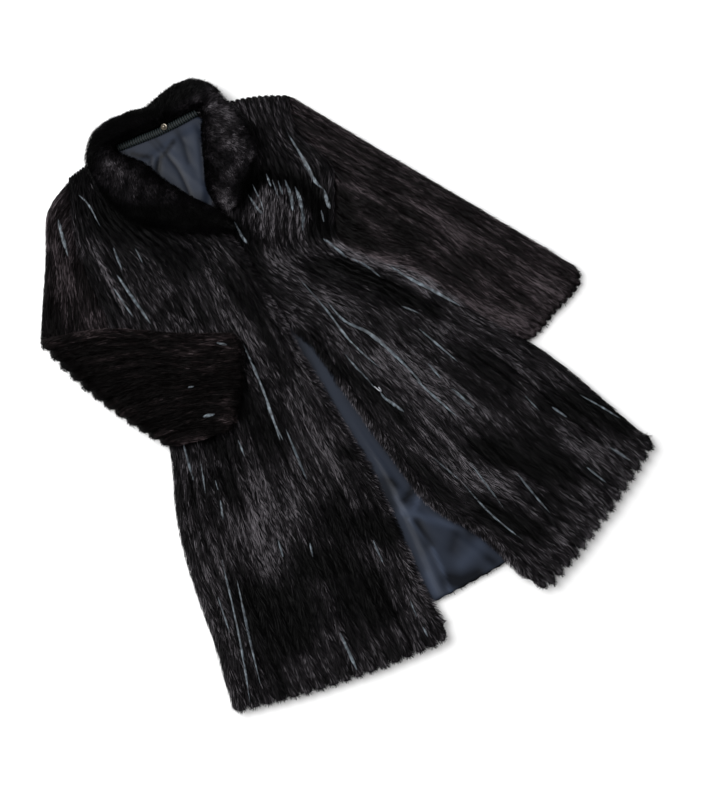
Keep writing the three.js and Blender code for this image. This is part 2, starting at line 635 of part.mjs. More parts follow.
// The hook: a wire that runs along the pile and curls back over itself
function hook() {
  const { wire, length, rise } = HOOK;
  const path = new THREE.CatmullRomCurve3([
    new THREE.Vector3(-wire, 0, wire / 2),
    new THREE.Vector3(-wire, -0.55 * length, wire / 2),
    new THREE.Vector3(-0.6 * wire, -0.9 * length, 0.4 * rise),
    new THREE.Vector3(0, -length, 0.8 * rise),
    new THREE.Vector3(0.6 * wire, -0.75 * length, rise),
    new THREE.Vector3(wire, -0.45 * length, 0.9 * rise),
  ]);
  const section = new THREE.Shape().absarc(0, 0, wire / 2, 0, 2 * Math.PI);
  return new THREE.ExtrudeGeometry(section, { steps: 14, curveSegments: 4, extrudePath: path });
}

// The height of the left front's fur under the middle of the hook
function hookGround() {
  const surface = frontSurface("left");
  const middle = [HOOK.at[0], HOOK.at[1] - HOOK.length / 2];
  const around = steps(200).flatMap((u) => steps(60, 0.55, 0.65).map((v) => surface(u, v)));
  return around.reduce((a, b) => (apart([a.x, a.y], middle) < apart([b.x, b.y], middle) ? a : b)).high;
}

// The coat
const material = (colour, roughness, metalness = 0) =>
  new THREE.MeshStandardMaterial({ color: colour, roughness, metalness });
const FUR = material(COLOURS.fur, 0.55);
const CUFF = material(COLOURS.cuff, 0.6);
const coat = new THREE.Group();
function add(name, geometry, look, place = [0, 0, 0], turn = 0) {
  const mesh = new THREE.Mesh(geometry, look);
  mesh.name = name;
  mesh.position.set(...place);
  mesh.rotation.z = turn;
  coat.add(mesh);
}

add("back", back(), FUR);
add("back_lining", lining(), material(COLOURS.lining, 0.38));
add("front_left", front("left"), FUR);
add("front_right", front("right"), FUR);
add("sleeve_left_under", leftSleeve("under"), FUR);
add("sleeve_left_top", leftSleeve("top"), FUR);
add("sleeve_right_under", rightSleeve("under"), CUFF);
add("sleeve_right_top", rightSleeve("top"), FUR);
add("collar_left", collar(LEFT_COLLAR), FUR);
add("collar_right", collar(RIGHT_COLLAR), FUR);
add("neck_trim", trim(), material(COLOURS.trim, 0.5));
const onTrim = TRIM_Z + 1 + TRIM_HIGH + GATHER + REST;
add("neck_stud", stud(), material(COLOURS.metal, 0.3, 1), [...STUD.at, onTrim]);
const onFur = hookGround() + HOOK.clear;
add("front_hook", hook(), material(COLOURS.hook, 0.4, 1), [...HOOK.at, onFur], HOOK.turn);

// The origin is on the floor, under the middle of the coat.
const middle = new THREE.Box3().setFromObject(coat).getCenter(new THREE.Vector3());
coat.position.set(-middle.x, -middle.y, 0);

export default coat;
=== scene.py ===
# The looks of a mink coat laid flat: skins, fur, satin and metal over the CAD's solids.
# Shapes are worked out in the pattern's millimetres, as in the CAD, and made in metres.
import math

import bpy
import numpy as np
from mathutils import Matrix, Vector


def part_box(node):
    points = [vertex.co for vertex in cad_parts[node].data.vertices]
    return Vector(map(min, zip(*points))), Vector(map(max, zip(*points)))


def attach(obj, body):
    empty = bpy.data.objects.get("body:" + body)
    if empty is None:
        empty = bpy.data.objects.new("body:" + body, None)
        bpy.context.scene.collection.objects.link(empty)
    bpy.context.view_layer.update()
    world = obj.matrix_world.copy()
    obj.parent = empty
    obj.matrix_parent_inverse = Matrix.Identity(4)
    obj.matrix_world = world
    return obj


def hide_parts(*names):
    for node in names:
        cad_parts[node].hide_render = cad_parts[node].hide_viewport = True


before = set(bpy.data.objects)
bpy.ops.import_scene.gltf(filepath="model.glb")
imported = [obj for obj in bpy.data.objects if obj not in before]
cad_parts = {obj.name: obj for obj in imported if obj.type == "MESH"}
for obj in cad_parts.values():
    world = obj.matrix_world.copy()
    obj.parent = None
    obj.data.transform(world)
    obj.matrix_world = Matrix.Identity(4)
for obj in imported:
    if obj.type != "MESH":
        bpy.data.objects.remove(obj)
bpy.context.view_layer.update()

# The CAD's sizes
BACK = 9
PELT = 11
LINING = 1.5
REST = 0.4
LINING_Z = BACK + REST
FRONT_Z = LINING_Z + LINING + REST + 0.2
SEAM_EDGE = 2
SEAM_ROUND = 22
FREE_ROUND = 9
FREE_PINCH = 3.5
RIB = 1.8
RIB_LEVEL = 0.4
HEM_BUMP = 5
BUMP_REACH = 20
UNDERARM = 0.3
NECK_RISE = 34
HEM_DROP = 33
HEM_SKEW = 12
SLEEVE = 18
SLEEVE_ROUND = 16
SLEEVE_EDGE = 1.2
CAP_ROUND = 14
UNDER_CUFF = 5
CUFF_BUMP = 1.4 * HEM_BUMP
EDGE_GAP = -4
SLEEVE_STRIPS = 12
BACK_STRIPS = 36

# Where the side seams and the front edges pass, from the shoulders to the hem
BODY = {
    "right_side": [
        (-186, 36), (-234, -62), (-257, -168), (-266, -245), (-276, -370), (-290, -486),
        (-343, -597), (-378, -705), (-402, -815), (-422, -885), (-434, -938),
    ],
    "right_edge": [
        (-84, 42), (-72, -55), (-6, -188), (8, -262), (5, -350), (1, -455),
        (-6, -590), (-12, -710), (-28, -825), (-46, -925), (-58, -1035),
    ],
    "left_edge": [
        (80, 10), (70, -62), (8, -152), (-45, -240), (-28, -340), (9, -455),
        (20, -590), (25, -710), (36, -822), (80, -920), (113, -1058),
    ],
    "left_side": [
        (236, -46), (214, -112), (228, -214), (168, -322), (200, -396), (258, -470),
        (300, -580), (358, -700), (393, -812), (410, -880), (428, -946),
    ],
}
FRONTS = {
    "right": {
        "left": "right_side", "right": "right_edge", "strips": 17,
        "top_bow": 2, "hem_bow": 11, "seam": "from_left", "free": "from_right",
    },
    "left": {
        "left": "left_edge", "right": "left_side", "strips": 16,
        "top_bow": 14, "hem_bow": 8, "seam": "from_right", "free": "from_left",
    },
}

# Large folds of the fronts: which front, from, to, height or depth, and width
FOLDS = [
    ("left", (58, -150), (121, -140), -6, 10),
    ("left", (121, -140), (165, -190), -6, 10),
    ("left", (165, -190), (182, -246), -5, 10),
    ("left", (100, -215), (126, -262), 9, 28),
    ("left", (182, -246), (160, -300), -5, 10),
    ("left", (138, -345), (190, -425), -5, 10),
    ("left", (190, -425), (255, -525), -5, 10),
    ("left", (112, -350), (165, -450), 7, 20),
    ("left", (165, -450), (222, -570), 6, 22),
    ("left", (60, -330), (108, -480), -4, 15),
    ("left", (50, -330), (84, -520), 5, 20),
    ("left", (100, -620), (150, -860), 6, 26),
    ("left", (235, -610), (300, -840), 6, 30),
    ("left", (175, -680), (222, -900), -4, 18),
    ("left", (66, -870), (118, -975), 6, 22),
    ("right", (-60, -235), (-46, -440), 5, 20),
    ("right", (-95, -120), (-130, -215), -4, 16),
    ("right", (-30, -470), (-62, -720), 5, 22),
    ("right", (-100, -560), (-135, -800), -4, 17),
    ("right", (-160, -570), (-205, -880), 6, 26),
    ("right", (-235, -600), (-285, -860), -4, 18),
    ("right", (-315, -640), (-368, -870), 6, 26),
]
# A fold's ridge is the panel lifted for the first share and thicker fur for the rest.
RIDGE_LIFTED, RIDGE_THICKER = 0.85, 0.15

# The right front laps fully over the left one above LAP_FULL and lies beside it below LAP_NONE.
# It rises over the left front's edge between LAP_FROM and LAP_TO across.
LAP_FULL, LAP_NONE = -440, -575
LAP_FROM, LAP_TO = -72, -26

# How far the front edges are drawn in from the CAD's, along the hem and near the hook
PARTED_BY = 4
PARTED_REACH = 40
PARTED_ABOVE_HEM = 120
HOOK_AT, HOOK_REACH = -475, 50

# The lining is creased where it shows: CREASE_INSET inside the front edges and below the neck.
# It starts higher in the neck than beside it.
CREASE_INSET = 12
CREASE_FROM, CREASE_TO = 2, -14
LINING_INSET = 34
LINING_NECK, LINING_BESIDE, LINING_HEM = 0.004, 0.02, 0.991
NECK_MIDDLE, NECK_INSIDE, NECK_OUTSIDE = 0.44, 0.17, 0.23
CREASE_SHOWN, RIPPLE_SHOWN = 0.55, 0.4

# The sleeves as they would lie unfolded. upper is the edge from the shoulder to the cuff. The
# lower edge follows the side seam to beside_body along the body, which is beside_end along the
# sleeve, and then goes on to cuff_corner. The cuff's corners are rounded by cuff_round, its
# lower end is drawn in by cuff_skew, its skin ends skin_in inside the CAD's cuff, and its
# middle stands out by bow.
LEFT_SLEEVE = {
    "side": "left_side",
    "upper": [(237, -46), (300, -185), (368, -330), (434, -470), (498, -612)],
    "beside_body": 0.68,
    "beside_end": 1,
    "cuff_corner": None,
    "cuff_round": 24,
    "cuff_skew": 14,
    "skin_in": -6,
    "bow": 9,
}
RIGHT_SLEEVE = {
    "side": "right_side",
    "upper": [(-179, 34), (-248, 2), (-302, -80), (-386, -203), (-472, -333), (-526, -523)],
    "beside_body": 0.5,
    "beside_end": 0.6,
    "cuff_corner": (-344, -576),
    "cuff_round": 20,
    "cuff_skew": 0,
    "skin_in": 3,
    "bow": 12,
}
# The right sleeve's fold: its crest's ends and bow, its axis's height, and the radius at which
# the cloth neither stretches nor shrinks
CREST_FROM, CREST_TO, CREST_BOW = (-386, -202), (-291, -487), 13
FOLD_Z = 21.2
FOLD_NEUTRAL = 12

# The collar's halves, from the tip to the centre back: the neckline and the free edge,
# each point with the heights of the underside and the top
RIGHT_COLLAR_INNER = [
    (22, -202, 37.2, 43), (4, -163, 37.8, 50), (-20, -122, 37.8, 49), (-42, -70, 26, 43),
    (-57, -21, 25, 43), (-82, 14, 25, 43), (-86, 39, 23, 40), (-62, 41, 10, 30),
    (-34, 38, 10, 26), (3.6, 32.5, 10, 25),
]
RIGHT_COLLAR_OUTER = [
    (9, -220, 37.2, 43), (-35, -193, 37.2, 47), (-91, -146, 29, 43), (-134, -100, 25, 42),
    (-147, -44, 25, 43), (-147, 8, 25, 42), (-137, 47, 18, 38), (-101, 79, 2, 36),
    (-48, 83, 1, 35), (7.6, 69, 1, 33),
]
LEFT_COLLAR_INNER = [
    (11, -164, 25, 31), (14, -124, 25, 35), (31, -90, 25, 39), (46, -60, 25, 41),
    (62, -32, 25, 43), (80, -4, 25, 42), (84, 18, 16, 34), (60, 26, 10, 28),
    (32, 29, 10, 25), (4.4, 32.5, 10, 25),
]
LEFT_COLLAR_OUTER = [
    (42, -180, 25, 31), (88, -153, 25, 38), (123, -115, 26, 42), (139, -72, 25, 43),
    (139, -34, 25, 43), (131, 2, 22, 42), (125, 43, 4, 36), (94, 74, 1, 35),
    (47, 76, 1, 34), (8.4, 69, 1, 33),
]
COLLAR_ROUND = 13
COLLAR_PINCH = 0.3
COLLAR_STAND = 4
COLLAR_TIP = 0.07
COLLAR_NECK = 0.44, 0.56
COLLAR_ROLL = 0.3, 0.6

TRIM = [(-80, 37), (-54, 32), (-28, 27), (-4, 23), (22, 20), (48, 18), (76, 17)]
TRIM_Z = LINING_Z + LINING + REST
TRIM_HALF = 7
TRIM_HIGH = 5
TRIM_GATHERS = 34
GATHER = 1.3
STUD_AT = (12, 23.3)

# Lines where a piece's fur parts and its skin shows, read off the photograph: the
# line's width in millimetres, and its points in the photograph's pixels
PHOTO_WIDTH, PHOTO_HEIGHT = 713, 800
SKIN_LINES_IN_PHOTO = {
    "front_left": [
        (6, [(552, 407), (567, 417)]),
        (4, [(517, 473), (550, 513)]),
        (3, [(458, 477), (490, 513), (523, 540)]),
        (3, [(470, 463), (503, 507)]),
        (3, [(433, 457), (460, 480)]),
        (4, [(587, 467), (607, 483)]),
        (4, [(610, 447), (630, 460)]),
        (3, [(252, 183), (260, 200), (264, 212)]),
        (4, [(266, 173), (271, 186)]),
        (3, [(272, 179), (279, 199)]),
        (4, [(278, 180), (283, 195)]),
        (6, [(285, 179), (291, 197), (293, 212)]),
        (7, [(295, 186), (300, 200), (303, 215), (303, 231)]),
        (4, [(248, 194), (258, 209), (264, 215)]),
        (5, [(234, 221), (242, 236), (247, 243)]),
        (6, [(287, 131), (305, 162), (314, 179), (324, 189)]),
        (7, [(324, 189), (327, 200), (330, 208)]),
        (5, [(336, 194), (339, 205)]),
        (3, [(321, 209), (324, 221)]),
        (5, [(323, 238), (335, 247), (347, 257)]),
        (4, [(350, 257), (368, 266), (380, 275)]),
        (4, [(371, 240), (384, 248)]),
        (6, [(390, 265), (410, 278), (434, 290), (460, 305)]),
        (3, [(401, 306), (420, 314)]),
        (4, [(299, 278), (325, 308), (350, 341), (380, 368)]),
        (6, [(328, 302), (344, 320), (368, 332), (392, 352), (411, 371), (422, 384)]),
        (4, [(345, 354), (356, 367), (367, 378), (375, 388)]),
        (3, [(428, 363), (441, 378)]),
        (3, [(419, 329), (458, 362)]),
        (5, [(380, 391), (385, 398), (396, 406), (404, 412)]),
        (4, [(416, 380), (435, 397), (458, 417)]),
        (5, [(452, 388), (474, 407)]),
        (3, [(525, 396), (539, 411)]),
        (6, [(553, 408), (566, 416)]),
        (3, [(580, 394), (606, 409), (621, 418)]),
    ],
    "front_right": [
        (5, [(183, 443), (193, 480)]),
        (3, [(200, 460), (205, 493)]),
        (3, [(215, 480), (218, 490)]),
        (4, [(220, 500), (223, 520)]),
        (3, [(238, 440), (245, 457)]),
        (3, [(267, 407), (283, 440)]),
        (4, [(285, 427), (307, 480)]),
        (4, [(278, 540), (283, 557)]),
        (4, [(310, 543), (313, 557)]),
        (4, [(373, 540), (383, 563)]),
        (4, [(222, 560), (233, 607), (243, 657), (250, 703)]),
        (4, [(237, 580), (247, 627), (260, 683)]),
        (3, [(218, 597), (230, 633)]),
        (6, [(340, 633), (357, 670)]),
        (3, [(423, 627), (428, 637)]),
        (3, [(410, 600), (417, 617)]),
        (4, [(113, 247), (122, 270)]),
        (6, [(117, 275), (150, 323)]),
        (3, [(113, 287), (133, 317)]),
        (3, [(135, 248), (142, 262)]),
        (5, [(243, 343), (263, 390), (280, 440)]),
        (3, [(78, 194), (88, 204), (100, 226)]),
    ],
    "sleeve_right_top": [
        (6, [(58, 219), (62, 236), (68, 256)]),
    ],
    "sleeve_right_under": [
        (4, [(217, 343), (227, 345)]),
        (4, [(188, 388), (194, 386)]),
        (6, [(203, 417), (215, 414)]),
    ],
}
# How high those pieces lie
LINE_HEIGHTS = {
    "front_left": 24, "front_right": 24, "sleeve_right_top": 18, "sleeve_right_under": 40,
}

# Where the fur makes room for the hook, in the pattern: the points of the clearing and its width
CLEARINGS = {"front_left": [([(73, -588), (72, -612)], 15)]}

# Where the fur is darker, below 0, or lighter than around it, as painted shade and painted sheen:
# the shade of folds and of the collar and the cuff over the fur, and the sheen on lit ridges and
# where the hair lies towards the light, read off the photograph in the same way: from, to, how
# much and how wide
PAINTED_SHADE_AND_SHEEN_IN_PHOTO = [
    ((243, 200), (256, 176), -0.50, 13),
    ((256, 176), (278, 169), -0.55, 13),
    ((278, 169), (296, 176), -0.55, 13),
    ((300, 178), (310, 196), -0.50, 12),
    ((312, 184), (319, 220), -0.38, 12),
    ((312, 222), (308, 236), -0.25, 9),
    ((262, 240), (306, 262), 0.12, 12),
    ((341, 222), (360, 244), -0.50, 16),
    ((330, 258), (382, 286), -0.45, 12),
    ((382, 286), (428, 309), -0.40, 12),
    ((328, 270), (368, 286), 0.22, 8),
    ((368, 286), (420, 301), 0.20, 8),
    ((346, 180), (382, 198), 0.22, 10),
    ((68, 176), (90, 164), -0.45, 16),
    ((74, 190), (92, 226), -0.15, 22),
    ((376, 206), (404, 226), -0.25, 34),
    ((470, 406), (520, 430), 0.20, 14),
    ((525, 402), (555, 425), 0.15, 12),
    ((566, 440), (600, 462), 0.15, 12),
    ((470, 440), (540, 474), -0.35, 14),
    ((100, 200), (124, 232), -0.25, 30),
    ((252, 600), (290, 622), -0.55, 26),
    ((276, 592), (292, 634), -0.50, 20),
    ((370, 522), (396, 528), -0.50, 16),
    ((306, 548), (348, 564), -0.50, 16),
    ((376, 576), (374, 612), -0.50, 16),
    ((318, 580), (330, 622), 0.20, 18),
    ((250, 520), (262, 566), 0.18, 20),
    ((404, 560), (412, 610), 0.16, 16),
    ((341, 188), (343, 226), -0.45, 10),
    ((345, 226), (364, 240), -0.35, 12),
    ((125, 212), (190, 216), -0.45, 14),
    ((190, 216), (238, 230), -0.45, 12),
    ((150, 235), (185, 262), -0.30, 22),
    ((238, 235), (262, 290), -0.30, 16),
    ((250, 590), (285, 622), -0.45, 22),
    ((366, 575), (385, 608), -0.50, 16),
    ((308, 560), (336, 548), -0.45, 14),
    ((340, 446), (348, 452), -0.40, 10),
    ((365, 520), (385, 530), -0.40, 12),
    ((218, 470), (232, 490), -0.40, 14),
    ((205, 430), (225, 448), -0.45, 12),
    ((345, 262), (400, 290), -0.35, 14),
    ((300, 330), (330, 372), -0.35, 12),
    ((590, 395), (618, 420), -0.40, 16),
    ((470, 440), (500, 452), -0.35, 16),
    ((480, 508), (512, 530), -0.45, 10),
    ((540, 460), (572, 476), -0.30, 14),
    ((262, 184), (300, 214), 0.18, 10),
    ((352, 246), (420, 276), 0.20, 12),
    ((400, 395), (450, 440), 0.16, 12),
    ((292, 500), (310, 540), 0.14, 14),
    ((310, 575), (330, 600), 0.14, 14),
    ((462, 468), (478, 482), 0.16, 10),
    ((338, 182), (384, 204), 0.15, 8),
    ((384, 204), (450, 246), 0.10, 8),
    ((392, 225), (420, 262), -0.25, 12),
    ((420, 190), (470, 222), -0.25, 12),
    ((480, 262), (520, 292), -0.20, 14),
    ((45, 300), (60, 325), -0.30, 14),
    ((80, 262), (95, 300), -0.25, 12),
    ((60, 360), (130, 400), -0.30, 20),
    ((60, 337), (170, 327), 0.18, 5),
    ((222, 352), (222, 400), 0.16, 7),
    ((110, 115), (180, 95), -0.35, 18),
    ((212, 152), (228, 158), -0.30, 12),
    ((215, 112), (240, 130), 0.14, 10),
    ((215, 190), (232, 205), 0.12, 10),
    ((130, 165), (160, 180), -0.30, 12),
    ((175, 200), (220, 215), 0.12, 8),
]
SHADES_Z = 24

# More places of such painted shade and sheen, which overlap those above, as points of the pattern
PAINTED_SHADE_AND_SHEEN = [
    ((-150, -60), (-30, -150), -0.30, 40),
    ((-60, -135), (-5, -185), -0.35, 22),
    ((120, -40), (150, -130), -0.25, 22),
    ((58, -150), (121, -140), -0.45, 11),
    ((121, -140), (165, -190), -0.45, 11),
    ((165, -190), (182, -250), -0.45, 13),
    ((182, -246), (150, -300), -0.40, 14),
    ((30, -200), (50, -260), -0.25, 14),
    ((75, -190), (125, -260), 0.22, 34),
    ((45, -280), (105, -480), 0.22, 16),
    ((100, -350), (190, -470), -0.35, 20),
    ((190, -470), (250, -520), -0.25, 16),
    ((150, -325), (250, -480), 0.30, 14),
    ((250, -480), (400, -720), 0.25, 16),
    ((170, -370), (230, -440), 0.20, 9),
    ((40, -520), (80, -650), -0.35, 12),
    ((110, -540), (170, -700), 0.25, 24),
    ((85, -580), (110, -660), -0.20, 10),
    ((240, -630), (270, -700), -0.25, 26),
    ((310, -770), (400, -870), -0.42, 24),
    ((205, -790), (260, -870), -0.30, 30),
    ((110, -870), (165, -950), -0.40, 22),
    ((130, -780), (160, -850), 0.22, 22),
    ((40, -700), (60, -800), -0.15, 16),
    ((-35, -300), (-45, -480), -0.28, 13),
    ((-75, -260), (-70, -380), 0.15, 16),
    ((-150, -450), (-120, -580), -0.40, 26),
    ((-300, -830), (-230, -840), -0.42, 40),
    ((-215, -780), (-180, -810), -0.30, 28),
    ((-115, -750), (-85, -775), -0.40, 28),
    ((-165, -870), (-150, -900), -0.38, 32),
    ((-335, -880), (-345, -930), -0.30, 20),
    ((-200, -620), (-230, -730), 0.25, 34),
    ((-105, -590), (-125, -680), 0.18, 24),
    ((-60, -520), (-70, -680), 0.12, 18),
    ((-310, -620), (-330, -720), 0.10, 24),
    ((-265, -50), (-285, -130), 0.25, 12),
    ((-215, -90), (-228, -210), 0.25, 9),
    ((-330, -130), (-370, -190), -0.20, 30),
    ((300, -290), (345, -420), 0.14, 22),
    ((395, -560), (420, -610), 0.20, 20),
    ((-175, -470), (-165, -500), 0.20, 22),
    ((-300, -300), (-240, -440), -0.15, 60),
    ((-120, 60), (110, 60), -0.40, 26),
    ((-120, -60), (-20, -150), 0.12, 14),
    ((100, -30), (105, -110), 0.15, 24),
]

# The lining's creases, read the same way: the height of a ridge, or the depth of a trough
# as a number below 0, its width, and its points. The heights also paint the satin's shade, and
# the long trough beside the left front's edge paints that front's shadow on the lining.
CREASES_IN_PHOTO = [
    (-2.2, 4, [(174, 142), (167, 152), (160, 160), (158, 172)]),
    (-1.5, 6, [(159, 164), (158, 173)]),
    (0.4, 5, [(172, 137), (163, 149), (154, 160)]),
    (-1.2, 5, [(177, 131), (184, 144), (189, 162)]),
    (-1.6, 4, [(168, 157), (179, 171), (185, 183), (191, 197)]),
    (0.5, 9, [(172, 150), (185, 168), (196, 190)]),
    (0.6, 9, [(189, 128), (198, 150), (203, 190)]),
    (-2.6, 4, [(132, 154), (140, 156), (148, 157)]),
    (-1.5, 3, [(152, 157), (151, 164)]),
    (-1.2, 4, [(155, 139), (163, 148)]),
    (-1.0, 3, [(150, 141), (160, 152)]),
    (-0.9, 4, [(200, 140), (204, 185)]),
    (-2.2, 5, [(391, 480), (396, 486)]),
    (-2.8, 6, [(412, 490), (405, 500)]),
    (2.0, 5, [(419, 497), (415, 508)]),
    (1.6, 8, [(405, 512), (430, 519), (463, 529)]),
    (1.4, 5, [(395, 497), (404, 513)]),
    (-2.4, 8, [(417, 522), (429, 544)]),
    (2.0, 4, [(410, 520), (433, 550), (443, 572), (451, 592)]),
    (-3.0, 12, [(449, 579), (462, 582), (478, 575)]),
    (-1.4, 9, [(456, 534), (452, 549)]),
    (1.0, 12, [(480, 545), (462, 564)]),
    (-1.6, 7, [(488, 558), (494, 562)]),
    (0.8, 9, [(426, 560), (437, 592)]),
    (-1.8, 11, [(352, 396), (392, 450), (428, 496), (470, 532)]),
    (-1.6, 10, [(384, 480), (392, 505)]),
    (1.2, 8, [(428, 575), (434, 592)]),
]
LINING_LIFT = 3

# The camera: where it looks, from which side, and how far off
TARGET_AT = (33.0, -592.0, 0.0)
AZIMUTH, ELEVATION = math.radians(-33), math.radians(80)
DISTANCE = 2373
LENS, SENSOR = 60, 36

# The skins: how thick the fur lies on them, how far they end inside the hem and over what
# length, the relief of their ribs and of the ribs on the fold's crest, how far the strips'
# rounded ends stand out, and the radius of the fronts' lower corners
PILE = 4.5
SKIN_IN = 7
SKIN_IN_REACH = 40
RIB_SHOWN = 2.3
CREST_RIB = 3.4
HEM_BUMPS_SHOWN = {"right": 9, "left": 19}
BACK_HEM_BUMP = 2
SHOULDER_BUMP_SHOWN = 4
FRONT_CORNERS = {"right": 22, "left": 32}

# How far strands turn across a strip, across its end at the hem, and near a free edge
STRIP_SPREAD = math.radians(5)
FINGER_SPREAD = math.radians(16)
EDGE_SPREAD = math.radians(38)
EDGE_SPREAD_REACH = 28

# Strands are closer together and shorter this near to the hem and to a free edge.
HEM_REACH = 24
FREE_REACH = 26
GROOVE_LENGTH_AT_HEM, CROWN_LENGTH_AT_HEM, LENGTH_AT_FREE_EDGE = 0.16, 0.26, 0.6

# Waves in the strands' direction: how many degrees, over how many millimetres
WAVES = ((5, 42), (4, 11))

# The share of strands that are guard hairs, and how much higher they stand
GUARD_SHARE, GUARD_HEIGHT = 0.08, 1.7

# More strands are drawn than are kept, because some fall in the partings.
SPARE_STRANDS = 1.12
ROOT_DEPTH = 0.4
UNDERNEATH_SHARE = 0.12

# How high a parting's bare skin is over the fur's skin, and how much lower at its sides
SKIN_LINE_RISE, SKIN_LINE_DROP = 2.6, 1.2

# A strand's shade, which is the fur's own tone and also painted sheen: its level, how much
# streaks, fine streaks and broad patches change it, how strongly the tables of painted shade and
# sheen darken and lighten it, and how much single strands differ where the fur is dark and where
# it is light
SHADE_LEVEL, SHADE_STREAK, SHADE_FINE, SHADE_BROAD = 0.50, 0.22, 0.20, 0.11
DARKEN, LIGHTEN = 1.9, 1.2
SPECKLE_DARK, SPECKLE_LIGHT = 0.06, 0.2

# Painted shade darkens the grooves between the strips, unevenly, but not near a free edge, where
# the strands get a little painted light instead. The last strands at an end are darker too.
GROOVE_PAINTED_SHADE, GROOVE_UNEVEN = 0.42, 0.28
GROOVE_EDGE_REACH = 28
END_DARK, END_DARK_REACH = 0.12, 12

# The satin's shade on a level place, and how much a crease's height changes it: painted shade in
# the troughs and painted highlights on the ridges
SATIN_LEVEL, SATIN_CREASE_PAINTED_SHADE = 0.55, 0.26

# The camera's directions
OUTWARD = Vector((
    math.sin(AZIMUTH) * math.cos(ELEVATION),
    -math.cos(AZIMUTH) * math.cos(ELEVATION),
    math.sin(ELEVATION),
))
RIGHTWARD = Vector((0, 0, 1)).cross(OUTWARD).normalized()
UPWARD = OUTWARD.cross(RIGHTWARD)


def from_photo(column, row, height):
    """The place in the pattern, at a height, that a pixel of the photograph shows."""
    focal = LENS / SENSOR * PHOTO_HEIGHT
    right = (column - PHOTO_WIDTH / 2) / focal
    up = (PHOTO_HEIGHT / 2 - row) / focal
    ray = right * RIGHTWARD + up * UPWARD - OUTWARD
    eye = Vector(TARGET_AT) + DISTANCE * OUTWARD
    at = eye + (height - eye.z) / ray.z * ray
    return at.x, at.y


# Both tables of painted shade and sheen, in the pattern's millimetres
ALL_PAINTED_SHADE_AND_SHEEN = PAINTED_SHADE_AND_SHEEN + [
    (from_photo(*start, SHADES_Z), from_photo(*end, SHADES_Z), amount, width)
    for start, end, amount, width in PAINTED_SHADE_AND_SHEEN_IN_PHOTO
]
LINING_CREASES = [
    (height, width, [from_photo(*pixel, LINING_Z) for pixel in pixels])
    for height, width, pixels in CREASES_IN_PHOTO
]


# Helpers
def clamp(x, low=0.0, high=1.0):
    return np.clip(x, low, high)


def mix(a, b, t):
    return a + (b - a) * t


def smooth(low, high, x):
    """From 0 at low to 1 at high, with a soft start and end."""
    t = clamp((x - low) / (high - low))
    return t * t * (3 - 2 * t)


def rounded(distance, radius):
    """From 0 on an edge to 1 at a distance of radius, as a quarter circle rises."""
    return np.sqrt(1 - (1 - clamp(distance / radius)) ** 2)


def along(points, t):
    """The points at t, from 0 to 1, on a smooth curve through evenly spaced points."""
    points = np.asarray(points, float)
    last = len(points) - 1
    t = np.asarray(t, float)
    i = np.clip(np.floor(t * last).astype(int), 0, last - 1)
    share = (t * last - i)[..., None]
    ends = np.vstack([2 * points[0] - points[1], points, 2 * points[-1] - points[-2]])
    before, start, end, after = ends[i], ends[i + 1], ends[i + 2], ends[i + 3]
    leaving = (end - before) / 2
    arriving = (after - start) / 2
    cubic = 2 * (start - end) + leaving + arriving
    square = 3 * (end - start) - 2 * leaving - arriving
    return ((cubic * share + square) * share + leaving) * share + start


def noise(x, y, size, seed):
    """Smooth noise from -1 to 1 that changes over a distance of size."""
    lattice = np.random.default_rng(seed).uniform(-1, 1, (256, 256))
    x = np.asarray(x) / size + 1000.37
    y = np.asarray(y) / size + 1000.71
    i = np.floor(x).astype(int)
    j = np.floor(y).astype(int)
    across = smooth(0, 1, x - i)
    up = smooth(0, 1, y - j)
    a = mix(lattice[i % 256, j % 256], lattice[(i + 1) % 256, j % 256], across)
    b = mix(lattice[i % 256, (j + 1) % 256], lattice[(i + 1) % 256, (j + 1) % 256], across)
    return mix(a, b, up)


def off_stretch(x, y, start, end):
    """How far points are from the stretch between two others, and how far along it."""
    dx, dy = end[0] - start[0], end[1] - start[1]
    t = clamp(((x - start[0]) * dx + (y - start[1]) * dy) / (dx * dx + dy * dy))
    return np.hypot(x - start[0] - t * dx, y - start[1] - t * dy), t


def swells(x, y, folds):
    """The sum of rounded ridges and troughs, each from, to, height and width."""
    total = np.zeros_like(x)
    for start, end, height, width in folds:
        total += height * np.exp(-((off_stretch(x, y, start, end)[0] / width) ** 2))
    return total


def strip(u, strips):
    """From 0 in the grooves between the let-out strips to 1 on their crowns."""
    return np.abs(np.sin(np.pi * u * strips))


def ribs(u, v, strips, seed):
    """Strips in relief, with grooves that are deeper in some stretches than in others."""
    uneven = 1 + 0.45 * noise(np.floor(u * strips + 0.5), v * 7, 1, seed)
    return 2 * (strip(u, strips) - RIB_LEVEL) * uneven


def bump(u, strips, distance, size):
    """How far the strips' rounded ends stand out of an edge."""
    return size * (np.sqrt(strip(u, strips)) - 0.6) * (1 - smooth(0, BUMP_REACH, distance))


def apart(p, q):
    """How far points are from others in plan."""
    return np.hypot(p[..., 0] - q[..., 0], p[..., 1] - q[..., 1])


def corner_rise(distance, radius):
    """How far a rounded corner is drawn in, at a distance from the other edge."""
    return radius * (1 - rounded(distance, radius))


EDGE_RUN = {name: along(BODY[name], np.linspace(0, 1, 61)) for name in ("right_edge", "left_edge")}


def edge_at(name, y):
    """Where a front's edge is across the coat, at a height y."""
    points = EDGE_RUN[name][::-1]
    return np.interp(y, points[:, 1], points[:, 0])


